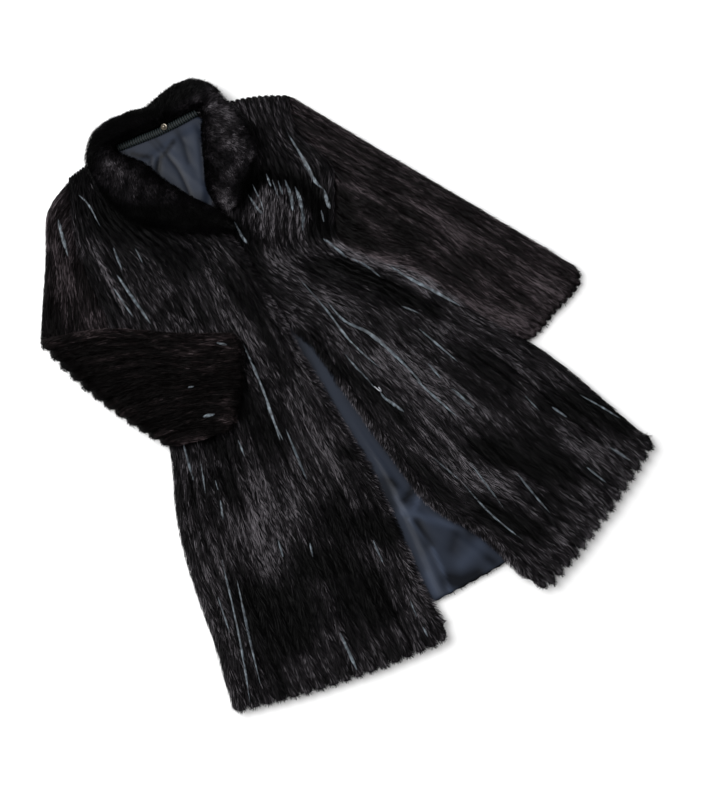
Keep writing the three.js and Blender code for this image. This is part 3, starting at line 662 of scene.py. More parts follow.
def panel(left, right, u, v, strips=0, top_bow=0, hem_bow=0, hem_skew=0, top_bump=0, hem_bump=0):
    """A panel's points in plan and how far each is from the panel's edges."""
    arch = np.sin(np.pi * u)
    skew = np.sin(2 * np.pi * u)

    def plain(v):
        p = mix(along(BODY[left], v), along(BODY[right], v), u[..., None])
        drop = (hem_bow * arch - hem_skew * skew) * clamp(10 * v - 9)
        p[..., 1] += top_bow * arch * clamp(1 - 10 * v) - drop
        return p

    p = plain(v)
    from_top = apart(p, plain(np.zeros_like(v)))
    from_hem = apart(p, plain(np.ones_like(v)))
    width = apart(along(BODY[left], v), along(BODY[right], v))
    out = bump(u, strips, from_top, top_bump) - bump(u, strips, from_hem, hem_bump)
    return {
        "x": p[..., 0],
        "y": p[..., 1] + out,
        "from_top": from_top,
        "from_hem": from_hem,
        "from_left": u * width,
        "from_right": (1 - u) * width,
    }


def stack(x, y, z):
    """Points of three coordinates, any of which may be one number for all."""
    return np.stack(np.broadcast_arrays(x, y, z), axis=-1).astype(float)


def front(side, u, v):
    """A front's skin, top and bottom, and how far its points are from its free edge and hem."""
    facts = FRONTS[side]
    strips = facts["strips"]
    p = panel(
        facts["left"], facts["right"], u, v, strips=strips, top_bow=facts["top_bow"],
        hem_bow=facts["hem_bow"], top_bump=SHOULDER_BUMP_SHOWN, hem_bump=HEM_BUMPS_SHOWN[side],
    )
    seam, free = p[facts["seam"]], p[facts["free"]]
    round_by = FRONT_CORNERS[side]
    corner = corner_rise(free, round_by) * (1 - smooth(0, 1.6 * round_by, p["from_hem"]))
    raised = SKIN_IN * (1 - smooth(0, SKIN_IN_REACH, p["from_hem"]))
    near_hook = np.exp(-(((p["y"] - HOOK_AT) / HOOK_REACH) ** 2))
    parted_by = PARTED_BY * smooth(0, PARTED_ABOVE_HEM, p["from_hem"]) + PARTED_BY * near_hook
    inward = parted_by * (1 - smooth(0, PARTED_REACH, free)) * (1 if side == "left" else -1)
    x = p["x"] + inward
    y = p["y"] + corner + raised
    full = rounded(seam, SEAM_ROUND) * rounded(p["from_top"], SEAM_ROUND)
    loose = rounded(free, FREE_ROUND) * rounded(p["from_hem"], FREE_ROUND)
    pinch = FREE_PINCH * (1 - loose)
    fold = swells(x, y, [row[1:] for row in FOLDS if row[0] == side]) * full
    ridge = np.maximum(fold, 0)
    trough = np.minimum(fold, 0)
    lap = 0
    if side == "right":
        over = smooth(LAP_FROM, LAP_TO, x - edge_at("left_edge", y))
        lap = (PELT + REST + RIB) * over * smooth(LAP_NONE, LAP_FULL, y)
    low = mix(BACK + REST, FRONT_Z + lap + RIDGE_LIFTED * ridge, full)
    depth = mix(SEAM_EDGE, PELT + trough + RIDGE_THICKER * ridge, full)
    rib = RIB_SHOWN * ribs(u, v, strips, 61) * full
    pile = PILE * full * mix(0.5, 1, loose)
    high = np.maximum(low + depth + rib - pinch - pile, low + pinch + 1)
    return stack(x, y, high), stack(x, y, low + pinch), free, p["from_hem"]


def back(u, v):
    """The back's skin, its fur side, which is underneath, first."""
    p = panel(
        "right_side", "left_side", u, v, strips=BACK_STRIPS, top_bow=NECK_RISE,
        hem_bow=HEM_DROP, hem_skew=HEM_SKEW, hem_bump=BACK_HEM_BUMP,
    )
    raised = SKIN_IN * (1 - smooth(0, SKIN_IN_REACH, p["from_hem"]))
    edge = np.minimum(np.minimum(p["from_left"], p["from_right"]), p["from_top"])
    side = rounded(edge, SEAM_ROUND)
    hem = 1 - rounded(p["from_hem"], FREE_ROUND)
    low = np.maximum((BACK - SEAM_EDGE) * (1 - side), FREE_PINCH * hem)
    low = np.minimum(low + 3.5, BACK - hem - 1)
    y = p["y"] + raised
    return stack(p["x"], y, low), stack(p["x"], y, BACK - hem), edge, p["from_hem"]


def creases(x, y):
    """How far the lining rises or falls in its creases."""
    total = np.zeros_like(x)
    for height, width, points in LINING_CREASES:
        near = np.full_like(x, np.inf)
        for start, end in zip(points[:-1], points[1:]):
            near = np.minimum(near, off_stretch(x, y, start, end)[0])
        total += height * np.exp(-((near / width) ** 2))
    return total


def lining(u, v):
    """The lining's top and underside, and how far it rises or falls in its creases."""
    width = apart(along(BODY["left_side"], v), along(BODY["right_side"], v))
    inset = LINING_INSET / width
    across = mix(inset, 1 - inset, u)
    beside = smooth(NECK_INSIDE, NECK_OUTSIDE, np.abs(across - NECK_MIDDLE))
    start = mix(LINING_NECK, LINING_BESIDE, beside)
    p = panel(
        "right_side", "left_side", across, mix(start, LINING_HEM, v), top_bow=NECK_RISE,
        hem_bow=HEM_DROP, hem_skew=HEM_SKEW,
    )
    x, y = p["x"], p["y"]
    open_by = np.minimum(x - edge_at("right_edge", y), edge_at("left_edge", y) - x) - CREASE_INSET
    shown = smooth(0, CREASE_INSET, open_by) * smooth(CREASE_FROM, CREASE_TO, y)
    ripple = 0.9 * noise(x + 0.3 * y, y * 0.35, 9, 5) + 0.5 * noise(x - 0.5 * y, y, 17, 6)
    rise = creases(x, y)
    lift = np.maximum(CREASE_SHOWN * rise + LINING_LIFT + RIPPLE_SHOWN * ripple, 0)
    z = LINING_Z + lift * shown
    return stack(x, y, z + LINING), stack(x, y, z), rise


def sleeve(facts, u, v, cuff_past):
    """A sleeve's points in plan as it would lie unfolded, and how far each is from its edges."""
    turn = 1 if facts["side"] == "left_side" else -1
    beside_end = facts["beside_end"]

    def beside(v):
        p = along(BODY[facts["side"]], v)
        p[..., 0] += turn * EDGE_GAP
        return p

    def bottom(v):
        point = beside(mix(UNDERARM, facts["beside_body"], np.minimum(1, v / beside_end)))
        if facts["cuff_corner"] is None:
            return point
        past = clamp((v - beside_end) / (1 - beside_end))[..., None]
        return mix(point, np.array(facts["cuff_corner"], float), past)

    zero = np.zeros_like(v)
    across_from = along(facts["upper"], 1.0)
    across_to = bottom(np.array(1.0))
    cuff_length = float(apart(across_from, across_to))
    run = (across_to - across_from) / cuff_length
    outward = np.array([-turn * run[1], turn * run[0]])

    def plain(u, v):
        ruled = mix(along(facts["upper"], v), bottom(v), u[..., None])
        cuff = mix(across_from, across_to, u[..., None])
        cuff = cuff + (facts["bow"] * np.sin(np.pi * u))[..., None] * outward
        cross = mix(beside(u * UNDERARM), cuff, v[..., None])
        start = mix(beside(np.array(0.0)), beside(np.array(UNDERARM)), u[..., None])
        end = mix(across_from, across_to, u[..., None])
        return ruled + cross - mix(start, end, v[..., None])

    p = plain(u, v)
    from_cuff = apart(p, plain(u, zero + 1))
    corner = corner_rise(np.minimum(u, 1 - u) * cuff_length, facts["cuff_round"])
    skew = facts["cuff_skew"] * smooth(0.1, 0.6, u)
    past = (cuff_past - corner - skew - facts["skin_in"]) * (1 - smooth(0, 2 * BUMP_REACH, from_cuff))
    out = past + bump(u, SLEEVE_STRIPS, from_cuff, CUFF_BUMP)
    p = p + out[..., None] * outward
    width = apart(plain(zero, v), plain(zero + 1, v))
    return p, np.minimum(u, 1 - u) * width, apart(p, plain(u, zero)), from_cuff


def sleeve_heights(from_side, from_cap, from_cuff, layer):
    """The outer and the inner height of one of a sleeve's layers where it lies flat."""
    full = rounded(from_side, SLEEVE_ROUND) * rounded(from_cap, CAP_ROUND)
    pinch = FREE_PINCH * (1 - rounded(from_cuff, FREE_ROUND))
    middle = SLEEVE / 2
    pile = 0.8 * PILE * full
    if layer == "top":
        outer = mix(middle + SLEEVE_EDGE, SLEEVE - pinch, full) - pile
        return np.maximum(outer, middle + 1.1), middle + REST / 2, full
    outer = mix(middle - SLEEVE_EDGE, pinch, full) + pile
    return np.minimum(outer, middle - 1.1), middle - REST / 2, full


CUFF_PAST = {"top": 0, "under": UNDER_CUFF}


def left_sleeve(layer, u, v):
    p, from_side, from_cap, from_cuff = sleeve(LEFT_SLEEVE, u, v, CUFF_PAST[layer])
    outer, inner, full = sleeve_heights(from_side, from_cap, from_cuff, layer)
    if layer == "top":
        outer = outer + 0.8 * RIB_SHOWN * ribs(u, v, SLEEVE_STRIPS, 62) * full
    x, y = p[..., 0], p[..., 1]
    return stack(x, y, outer), stack(x, y, inner), from_side, from_cuff


CREST_LENGTH = math.dist(CREST_FROM, CREST_TO)
CREST_RUN = (np.array(CREST_TO) - np.array(CREST_FROM)) / CREST_LENGTH
CREST_OUT = np.array([CREST_RUN[1], -CREST_RUN[0]])


def folded(p, z):
    """Takes points of the unfolded right sleeve round its fold."""
    off = p - np.array(CREST_FROM)
    t = off @ CREST_RUN
    bow = CREST_BOW * np.sin(np.pi * clamp(t / CREST_LENGTH))
    into = off @ CREST_OUT - bow + FOLD_Z
    turn = clamp(into / FOLD_NEUTRAL, 0, math.pi)
    straight = np.where(into < 0, into, -np.maximum(0, into - math.pi * FOLD_NEUTRAL))
    radius = FOLD_Z - z
    out = bow - FOLD_Z + straight + radius * np.sin(turn)
    xy = np.array(CREST_FROM) + t[..., None] * CREST_RUN + out[..., None] * CREST_OUT
    return stack(xy[..., 0], xy[..., 1], FOLD_Z - radius * np.cos(turn)), into


def right_sleeve(layer, u, v):
    p, from_side, from_cap, from_cuff = sleeve(RIGHT_SLEEVE, u, v, CUFF_PAST[layer])
    outer, inner, full = sleeve_heights(from_side, from_cap, from_cuff, layer)
    into = folded(p, np.zeros_like(u))[1]
    crest = np.exp(-(((into - 12) / 20) ** 2))
    raised = (1.6 + CREST_RIB * crest) * RIB * (strip(u, SLEEVE_STRIPS) - RIB_LEVEL) * full
    if layer == "top":
        outer = outer + raised * (1 - smooth(-30, 0, into))
    else:
        outer = outer - raised * smooth(-12, 10, into)
    return folded(p, outer)[0], folded(p, np.zeros_like(u) + inner)[0], from_side, from_cuff


def collar(inner, outer, u, v):
    """A half of the collar, from its tip, and how far it is from the centre back and its edge."""
    a, b = along(inner, v), along(outer, v)
    p = mix(a, b, u[..., None])
    edge = np.minimum(u, 1 - u) * apart(a, b)
    full = rounded(edge, COLLAR_ROUND) * rounded(v, COLLAR_TIP)
    most = (p[..., 3] - p[..., 2]) / 2
    half = most * mix(COLLAR_PINCH, 1, full)
    at_neck = smooth(*COLLAR_NECK, v) * (1 - smooth(*COLLAR_ROLL, u))
    middle = (p[..., 2] + p[..., 3]) / 2
    pile = np.minimum(PILE, 0.5 * half)
    x, y = p[..., 0], p[..., 1]
    centre = (1 - v) * 400
    under = mix(middle - half, np.minimum(middle - most, COLLAR_STAND), at_neck)
    return stack(x, y, middle + half - pile), stack(x, y, under), centre, edge


# Placing: the pattern's origin is found from the stud, which is where the CAD puts it
stud_low, stud_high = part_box("neck_stud")
stud_middle = (stud_low + stud_high) / 2 * 1000
OFFSET = np.array([stud_middle.x - STUD_AT[0], stud_middle.y - STUD_AT[1], 0])


def place(points):
    """Points of the pattern, in millimetres, as Blender takes them, in metres."""
    return (points + OFFSET) / 1000


def new_object(name, data):
    made = bpy.data.objects.new(name, data)
    bpy.context.scene.collection.objects.link(made)
    return made


def new_mesh(name, points, faces, material):
    """An object from points in millimetres of the pattern and faces of equal size."""
    faces = np.asarray(faces, np.int32)
    mesh = bpy.data.meshes.new(name)
    mesh.vertices.add(len(points))
    mesh.vertices.foreach_set("co", place(points).astype(np.float32).ravel())
    mesh.loops.add(faces.size)
    mesh.loops.foreach_set("vertex_index", faces.ravel())
    mesh.polygons.add(len(faces))
    size = faces.shape[1]
    mesh.polygons.foreach_set("loop_start", np.arange(0, faces.size, size, dtype=np.int32))
    mesh.update(calc_edges=True)
    mesh.validate()
    mesh.materials.append(material)
    made = new_object(name, mesh)
    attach(made, "root")
    return made


def set_shade(piece, values):
    """Gives each vertex the shade that its material takes a colour for."""
    shades = piece.data.attributes.new("shade", "FLOAT", "POINT")
    shades.data.foreach_set("value", np.asarray(values, np.float32).ravel())


def smooth_faces(piece):
    piece.data.polygons.foreach_set("use_smooth", np.ones(len(piece.data.polygons), bool))


def shell(name, outer, inner, material):
    """A closed wall between two grids of points of the same size."""
    rows, columns = outer.shape[:2]
    index = np.arange(rows * columns).reshape(rows, columns)
    a, b, c, d = index[:-1, :-1], index[1:, :-1], index[1:, 1:], index[:-1, 1:]
    quads = np.stack([a, b, c, d], -1).reshape(-1, 4)
    under = quads[:, ::-1] + rows * columns
    ring = np.concatenate([index[0, :-1], index[:-1, -1], index[-1, :0:-1], index[:0:-1, 0]])
    after = np.roll(ring, -1)
    sides = np.stack([ring, after, after + rows * columns, ring + rows * columns], -1)
    faces = np.concatenate([quads, under, sides])
    points = np.concatenate([outer.reshape(-1, 3), inner.reshape(-1, 3)])
    corners = points[faces]
    volume = np.einsum("ij,ij->i", corners[:, 0], np.cross(corners[:, 1], corners[:, 2])).sum()
    volume += np.einsum("ij,ij->i", corners[:, 0], np.cross(corners[:, 2], corners[:, 3])).sum()
    if volume < 0:
        faces = faces[:, ::-1]
    made = new_mesh(name, points, faces, material)
    smooth_faces(made)
    return made


# Fur
class Surface:
    """A grid of points that fur grows from: rows run along the fur's flow, columns across it."""

    def __init__(self, points, inside, free, end, u, strips):
        self.points = points
        self.u = u
        self.strips = strips
        self.free = free
        self.end = end
        self.down = np.gradient(points, axis=0)
        self.across = np.gradient(points, axis=1)
        normal = np.cross(self.across, self.down)
        size = np.linalg.norm(normal, axis=-1, keepdims=True)
        self.area = size[..., 0]
        normal = normal / np.maximum(size, 1e-6)
        if (normal * (points - inside)).sum() < 0:
            normal = -normal
        self.normal = normal

    def read(self, values, row, column):
        """Values between the grid's points, carried on in a straight line past its edges."""
        rows, columns = values.shape[:2]
        r = np.clip(row, 0, rows - 1.001)
        c = np.clip(column, 0, columns - 1.001)
        i, j = r.astype(int), c.astype(int)
        s = np.clip(row - i, -6, 7)
        t = np.clip(column - j, -6, 7)
        if values.ndim == 3:
            s, t = s[:, None], t[:, None]
        top = mix(values[i, j], values[i, j + 1], t)
        bottom = mix(values[i + 1, j], values[i + 1, j + 1], t)
        return mix(top, bottom, s)


def unit(vectors):
    """Vectors of the same directions with a length of 1."""
    return vectors / np.maximum(np.linalg.norm(vectors, axis=-1, keepdims=True), 1e-9)


def parted(x, y, points, width):
    """How deep points are in a parting, from 0 outside it to 1 on its line."""
    found = np.zeros_like(x)
    stretches = list(zip(points[:-1], points[1:]))
    for k, (start, end) in enumerate(stretches):
        off, t = off_stretch(x, y, start, end)
        run = (k + t) / len(stretches)
        half = 0.5 * width * np.sqrt(np.sin(np.pi * np.clip(run, 0.02, 0.98)))
        found = np.maximum(found, 1 - off / half)
    return found


def strands(name, root, middle, tip, normal, width, random, material):
    """A mesh of bent blades, each of three faces, from their roots, middles and tips."""
    n = len(root)
    run = unit(tip - root)
    side = unit(np.cross(run, normal))
    roll = random.uniform(-0.7, 0.7, n)[:, None]
    side = side * np.cos(roll) + normal * np.sin(roll)
    half = (0.5 * width * random.uniform(0.7, 1.3, n))[:, None] * side
    points = np.stack([root - half, root + half, middle - 0.85 * half, middle + 0.85 * half, tip], 1)
    points[..., 2] = np.maximum(points[..., 2], 0.2)
    blade = np.array([[0, 1, 3], [0, 3, 2], [2, 3, 4]])
    faces = (5 * np.arange(n)[:, None, None] + blade).reshape(-1, 3)
    made = new_mesh(name, points.reshape(-1, 3), faces, material)

    # Each strand gets its own small square of the map, so that its shade can be baked.
    side_count = math.ceil(math.sqrt(n))
    square = np.stack([np.arange(n) % side_count, np.arange(n) // side_count], -1)[:, None]
    corners = np.array([[0.15, 0.1], [0.85, 0.1], [0.25, 0.5], [0.75, 0.5], [0.5, 0.9]])
    places = ((square + corners) / side_count).reshape(-1, 2)
    uv = made.data.uv_layers.new(name="OFBake")
    uv.data.foreach_set("uv", places[faces.ravel()].astype(np.float32).ravel())
    return made


def strand_shades(surface, root, u, flow, free, end, tone, speckle, seed, random):
    """Each strand's shade, by its place in its strip, by the painted shade and sheen and at random.
    """
    x, y = root[:, 0], root[:, 1]
    strip_place = u * surface.strips
    if surface.strips:
        streak = noise(strip_place * 3, flow / 60, 1, seed + 5)
        fine = noise(strip_place * 9, flow / 26, 1, seed + 7)
    else:
        streak = noise(x, y, 15, seed + 5)
        fine = noise(x, y, 5, seed + 7)
    broad = noise(x, y, 45, seed + 6)
    shade = SHADE_LEVEL + tone + SHADE_STREAK * streak + SHADE_FINE * fine + SHADE_BROAD * broad
    # Painted shade in folds and under the pieces above, and painted sheen, from the tables
    painted_shade_and_sheen = swells(x, y, ALL_PAINTED_SHADE_AND_SHEEN)
    shade = shade * clamp(1 + DARKEN * np.minimum(painted_shade_and_sheen, 0)) + LIGHTEN * np.maximum(painted_shade_and_sheen, 0)
    if surface.strips:
        groove = np.abs(2 * (strip_place % 1 - 0.5)) ** 3
        uneven = noise(np.floor(strip_place + 0.5), flow / 70, 1, seed + 8)
        depth = GROOVE_PAINTED_SHADE + GROOVE_UNEVEN * uneven
        near_edge = 1 - smooth(0, GROOVE_EDGE_REACH, free)
        # Painted shade in the grooves; near a free edge, a little painted light instead
        shade = shade - depth * (1 - near_edge) * groove + 0.05 * near_edge
    shade = shade - END_DARK * (1 - smooth(0, END_DARK_REACH, end))
    differ = speckle * mix(SPECKLE_DARK, SPECKLE_LIGHT, clamp(2 * shade))
    return clamp(shade + differ * random.standard_normal(len(x)))


def fur(name, surface, count, seed, material, shown, partings, length=18.5, width=0.72, height=4,
        turn=0, centre_turn=0, edge_turn=0, ruffle=3, tone=0, speckle=1):
    """Strands of fur over a surface, each a bent blade of three faces.

    shown is the share of strands that each place gets. The strands follow the surface's rows,
    turned by turn everywhere, by centre_turn near the centre back, and outwards, to the side of
    edge_turn's sign, near a free edge. ruffle, in degrees, and speckle are how much single
    strands differ in direction and in shade.
    """
    random = np.random.default_rng(seed)
    rows, columns = surface.area.shape
    weight = surface.area * shown * (2.2 - 1.2 * smooth(0, HEM_REACH, surface.end))
    if edge_turn:
        weight = weight * (1.5 - 0.5 * smooth(0, FREE_REACH, surface.free))
    chances = (weight / weight.sum()).ravel()
    cell = random.choice(weight.size, int(count * SPARE_STRANDS), p=chances)
    row = cell // columns + random.uniform(-0.5, 0.5, len(cell))
    column = cell % columns + random.uniform(-0.5, 0.5, len(cell))
    row = np.clip(row, 0, rows - 1.001)
    column = np.clip(column, 0, columns - 1.001)
    root = surface.read(surface.points, row, column)
    x, y = root[:, 0], root[:, 1]
    u = surface.read(surface.u, row, column)
    down = surface.read(surface.down, row, column)
    across = surface.read(surface.across, row, column)
    normal = unit(surface.read(surface.normal, row, column))

    local = (u * surface.strips) % 1 - 0.5
    free = surface.read(surface.free, row, column)
    end = surface.read(surface.end, row, column)
    angle = turn + centre_turn * (1 - smooth(0, 70, free))
    for k, (degrees, size) in enumerate(WAVES):
        angle = angle + math.radians(degrees) * noise(x, y, size, seed + 1 + k)
    angle = angle + math.radians(ruffle) * random.standard_normal(len(x))
    if surface.strips:
        angle = angle + STRIP_SPREAD * np.sin(2 * np.pi * local)
    angle = angle + edge_turn * EDGE_SPREAD * (1 - smooth(0, EDGE_SPREAD_REACH, free))
    long = length * random.uniform(0.75, 1.2, len(x)) * (1 + 0.2 * noise(x, y, 25, seed + 3))
    crown = strip(u, surface.strips) if surface.strips else 1.0
    at_hem = mix(GROOVE_LENGTH_AT_HEM, CROWN_LENGTH_AT_HEM, crown)
    long = long * mix(at_hem, 1, smooth(0, HEM_REACH, end))
    if edge_turn:
        long = long * mix(LENGTH_AT_FREE_EDGE, 1, smooth(0, FREE_REACH, free))
    if surface.strips:
        angle = angle + FINGER_SPREAD * 2 * local * (1 - smooth(0, 14, end))
    down_size = np.linalg.norm(down, axis=1)
    across_size = np.linalg.norm(across, axis=1)
    tall = height * random.uniform(0.6, 1.25, len(x)) * (1 + 0.35 * noise(x, y, 18, seed + 4))
    guard = random.uniform(0, 1, len(x)) < GUARD_SHARE
    tall = tall * mix(0.5, 1, crown) * np.where(guard, GUARD_HEIGHT, 1)

    def at(share, rise):
        r = row + long * share * np.cos(angle) / np.maximum(down_size, 0.3)
        c = column + long * share * np.sin(angle) / np.maximum(across_size, 0.3)
        return surface.read(surface.points, r, c) + normal * (tall * rise)[:, None]

    middle = at(0.5, 0.72)
    tip = at(1.0, 1.0)
    keep = np.ones(len(x), bool)
    for points, line_width in partings:
        for p in (root, middle, tip):
            keep &= parted(p[:, 0], p[:, 1], points, line_width) < random.uniform(0.0, 0.9, len(x))
    chosen = np.flatnonzero(keep)[:count]
    normal = normal[chosen]
    root = root[chosen] - ROOT_DEPTH * normal
    hair = strands(name, root, middle[chosen], tip[chosen], normal, width, random, material)
    flow = (row * down_size)[chosen]
    shade = strand_shades(
        surface, root, u[chosen], flow, free[chosen], end[chosen], tone, speckle, seed, random
    )
    darker_at_root = np.array([0.25, 0.25, 0.85, 0.85, 1.1])
    set_shade(hair, shade[:, None] * darker_at_root)
    return hair


# Materials
def linear(*rgb):
    """A colour given in the photograph's numbers, from 0 to 255, as Blender takes it."""
    parts = [c / 255 for c in rgb]
    return [c / 12.92 if c <= 0.04045 else ((c + 0.055) / 1.055) ** 2.4 for c in parts] + [1]


def new_material(name, **sockets):
    """A material whose shader has the given values, with _ for a space in a socket's name."""
    made = bpy.data.materials.new(name)
    made.use_nodes = True
    for socket, value in sockets.items():
        shader_of(made).inputs[socket.replace("_", " ")].default_value = value
    return made


def shader_of(material):
    return material.node_tree.nodes["Principled BSDF"]


def shade_of(material):
    """The shade that a piece's vertices carry, from 0 to 1."""
    made = material.node_tree.nodes.new("ShaderNodeAttribute")
    made.attribute_name = "shade"
    return made.outputs["Fac"]


def grain_of(material, **sockets):
    """Fine noise in the piece's own place, from 0 to 1."""
    nodes = material.node_tree.nodes
    place_node = nodes.new("ShaderNodeTexCoord")
    grain = nodes.new("ShaderNodeTexNoise")
    for socket, value in sockets.items():
        grain.inputs[socket].default_value = value
    material.node_tree.links.new(place_node.outputs["Object"], grain.inputs["Vector"])
    return grain.outputs["Fac"]


def colour_by(material, source, stops):
    """Gives a material its colours by a number, from places on a scale of 0 to 1."""
    tree = material.node_tree
    colours = tree.nodes.new("ShaderNodeValToRGB")
    elements = colours.color_ramp.elements
    for position, colour in stops[1:-1]:
        elements.new(position).color = linear(*colour)
    for element, (position, colour) in ((elements[0], stops[0]), (elements[-1], stops[-1])):
        element.position = position
        element.color = linear(*colour)
    tree.links.new(source, colours.inputs["Fac"])
    tree.links.new(colours.outputs["Color"], shader_of(material).inputs["Base Color"])


def raise_by(material, source, strength, distance):
    """Gives a material a relief by a number."""
    tree = material.node_tree
    relief = tree.nodes.new("ShaderNodeBump")
    relief.inputs["Strength"].default_value = strength
    relief.inputs["Distance"].default_value = distance
    tree.links.new(source, relief.inputs["Height"])
    tree.links.new(relief.outputs["Normal"], shader_of(material).inputs["Normal"])


# The lighter colours of each ramp are partly the hair's own grey and partly painted sheen, with the
# gloss kept low
def fur_material(name, dark, low, middle, light, gloss=0.05):
    made = new_material(name, Roughness=0.4, Specular_IOR_Level=gloss)
    colour_by(made, shade_of(made), [(0.0, dark), (0.3, low), (0.6, middle), (1.0, light)])
    return made


FUR = fur_material("mink", (1, 1, 1), (9, 8, 10), (42, 39, 42), (118, 114, 119))
FUR_BROWN = fur_material("mink_brown", (2, 1, 1), (11, 8, 9), (36, 31, 33), (98, 89, 93))
FUR_FOREARM = fur_material(
    "mink_forearm", (2, 1, 1), (10, 8, 8), (36, 29, 30), (98, 87, 90), gloss=0.02
)

# The dense underfur that shows between the strands, in short streaks
SKIN = new_material("underfur", Roughness=0.8, Specular_IOR_Level=0.05)
streaks = grain_of(SKIN, Scale=420, Detail=4)
colour_by(SKIN, streaks, [(0.3, (2, 2, 2)), (0.7, (10, 9, 10))])
raise_by(SKIN, streaks, strength=0.6, distance=0.001)

# The satin's colours are painted shade in its creases and painted highlights on their ridges, and
# its relief is the weave
SATIN = new_material("satin", Roughness=0.36, Specular_IOR_Level=0.12)
colour_by(SATIN, shade_of(SATIN), [(0.0, (5, 8, 15)), (0.5, (28, 33, 43)), (1.0, (46, 53, 67))])
raise_by(SATIN, grain_of(SATIN, Scale=1400), strength=0.12, distance=0.0004)

# Painted shade in the dips of the trim's gathers and painted highlights on their ridges
TRIM_SATIN = new_material("trim_satin", Roughness=0.5, Specular_IOR_Level=0.2)
colour_by(
    TRIM_SATIN, shade_of(TRIM_SATIN), [(0.0, (3, 5, 6)), (0.5, (14, 18, 19)), (1.0, (38, 47, 48))]
)

# The bare skin in the partings
LEATHER = new_material("skin_line", Roughness=0.6)
colour_by(
    LEATHER,
    grain_of(LEATHER, Scale=90, Detail=6, Roughness=0.7),
    [(0.36, (26, 29, 34)), (0.5, (62, 70, 77)), (0.66, (110, 120, 128))],
)


# Pieces
def partings_on(node):
    """The points and the widths of the lines where a piece's fur parts."""
    return [
        ([from_photo(*pixel, LINE_HEIGHTS[node]) for pixel in pixels], width)
        for width, pixels in SKIN_LINES_IN_PHOTO.get(node, [])
    ]


def skin_lines(name, surface, partings):
    """Ribbons of bare skin along the partings, low between the hairs."""
    flat = surface.points.reshape(-1, 3)
    all_points, all_faces = [], []
    for points, width in partings:
        t = np.linspace(0, 1, 8 * len(points))
        line = along(points, t)
        run = unit(np.gradient(line, axis=0))
        side = np.stack([-run[:, 1], run[:, 0]], -1)
        half = 0.5 * width * np.sqrt(np.sin(np.pi * np.clip(t, 0.01, 0.99)))
        half = half * (1 + 0.35 * noise(line[:, 0], line[:, 1], 9, 11))
        rows = []
        for k in (-1, 0, 1):
            p = line + k * half[:, None] * side
            off = np.hypot(flat[None, :, 0] - p[:, :1], flat[None, :, 1] - p[:, 1:2])
            skin_z = flat[np.argmin(off, axis=1), 2]
            z = np.convolve(np.pad(skin_z, 2, mode="edge"), np.ones(5) / 5, mode="valid")
            rows.append(stack(p[:, 0], p[:, 1], z + SKIN_LINE_RISE - SKIN_LINE_DROP * abs(k)))
        start = sum(len(p) for p in all_points)
        strip_points = np.stack(rows, 1)
        index = start + np.arange(strip_points.shape[0] * 3).reshape(-1, 3)
        quads = np.stack([index[:-1, :-1], index[:-1, 1:], index[1:, 1:], index[1:, :-1]], -1)
        all_points.append(strip_points.reshape(-1, 3))
        all_faces.append(quads.reshape(-1, 4))
    made = new_mesh(name, np.concatenate(all_points), np.concatenate(all_faces), LEATHER)
    smooth_faces(made)
    return made


def facing(surface):
    """1 where a surface looks up, and less where it looks at the floor."""
    return np.where(surface.normal[..., 2] < -0.25, UNDERNEATH_SHARE, 1.0)


def furred(node, make, across, down, finer, strips, flat, area, rests_on, count, seed,
           fur_look=FUR, **style):
    """A skin with its fur, in place of a CAD node.

    make gives the outer and the inner points at u, across, and v, down, and how far they are
    from the free edge and from the end. finer is the size of the grid that the fur grows from.
    """
    u, v = np.meshgrid(across, down)
    outer, inner = make(u, v)[:2]
    skin = shell(node + "_skin", outer, inner, SKIN)
    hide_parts(node)
    u, v = np.meshgrid(np.linspace(0, 1, finer[0]), np.linspace(0, 1, finer[1]))
    surface = Surface(*make(u, v), u, strips)
    partings = partings_on(node)
    bare = partings + CLEARINGS.get(node, [])
    pieces = [fur(node + "_fur", surface, count, seed, fur_look, facing(surface), bare, **style)]
    if partings:
        pieces.append(skin_lines(node + "_skin_lines", surface, partings))


def close_ends(count, ends=(0.003, 0.008, 0.016)):
    """Steps from 0 to 1 that are closer at both ends."""
    inside = np.linspace(0, 1, count)[1:-1]
    inside = inside[(inside > ends[-1]) & (inside < 1 - ends[-1])]
    return np.concatenate([[0], ends, inside, 1 - np.array(ends)[::-1], [1]])


BODY_DOWN = close_ends(60)
PANEL_ENDS = (0.006, 0.014)

for side, across, flat, area, edge_turn, seed in (
    ("right", 69, (0.40, 1.03), 0.30, 1, 10),
    ("left", 65, (0.38, 1.03), 0.29, -1, 20),
):
    furred(
        "front_" + side,
        lambda u, v, side=side: front(side, u, v),
        across=close_ends(across, PANEL_ENDS),
        down=BODY_DOWN,
        finer=(170, 420),
        strips=FRONTS[side]["strips"],
        flat=flat,
        area=area,
        rests_on=["back_lining"],
        count=66000,
        seed=seed,
        edge_turn=edge_turn,
    )

for layer, count, seed in (("top", 36000, 30), ("under", 3500, 40)):
    furred(
        "sleeve_left_" + layer,
        lambda u, v, layer=layer: left_sleeve(layer, u, v),
        across=close_ends(49, PANEL_ENDS),
        down=close_ends(46),
        finer=(120, 260),
        strips=SLEEVE_STRIPS,
        flat=(0.22, 0.64),
        area=0.10,
        rests_on=["floor"],
        count=count,
        seed=seed,
        fur_look=FUR_BROWN,
    )

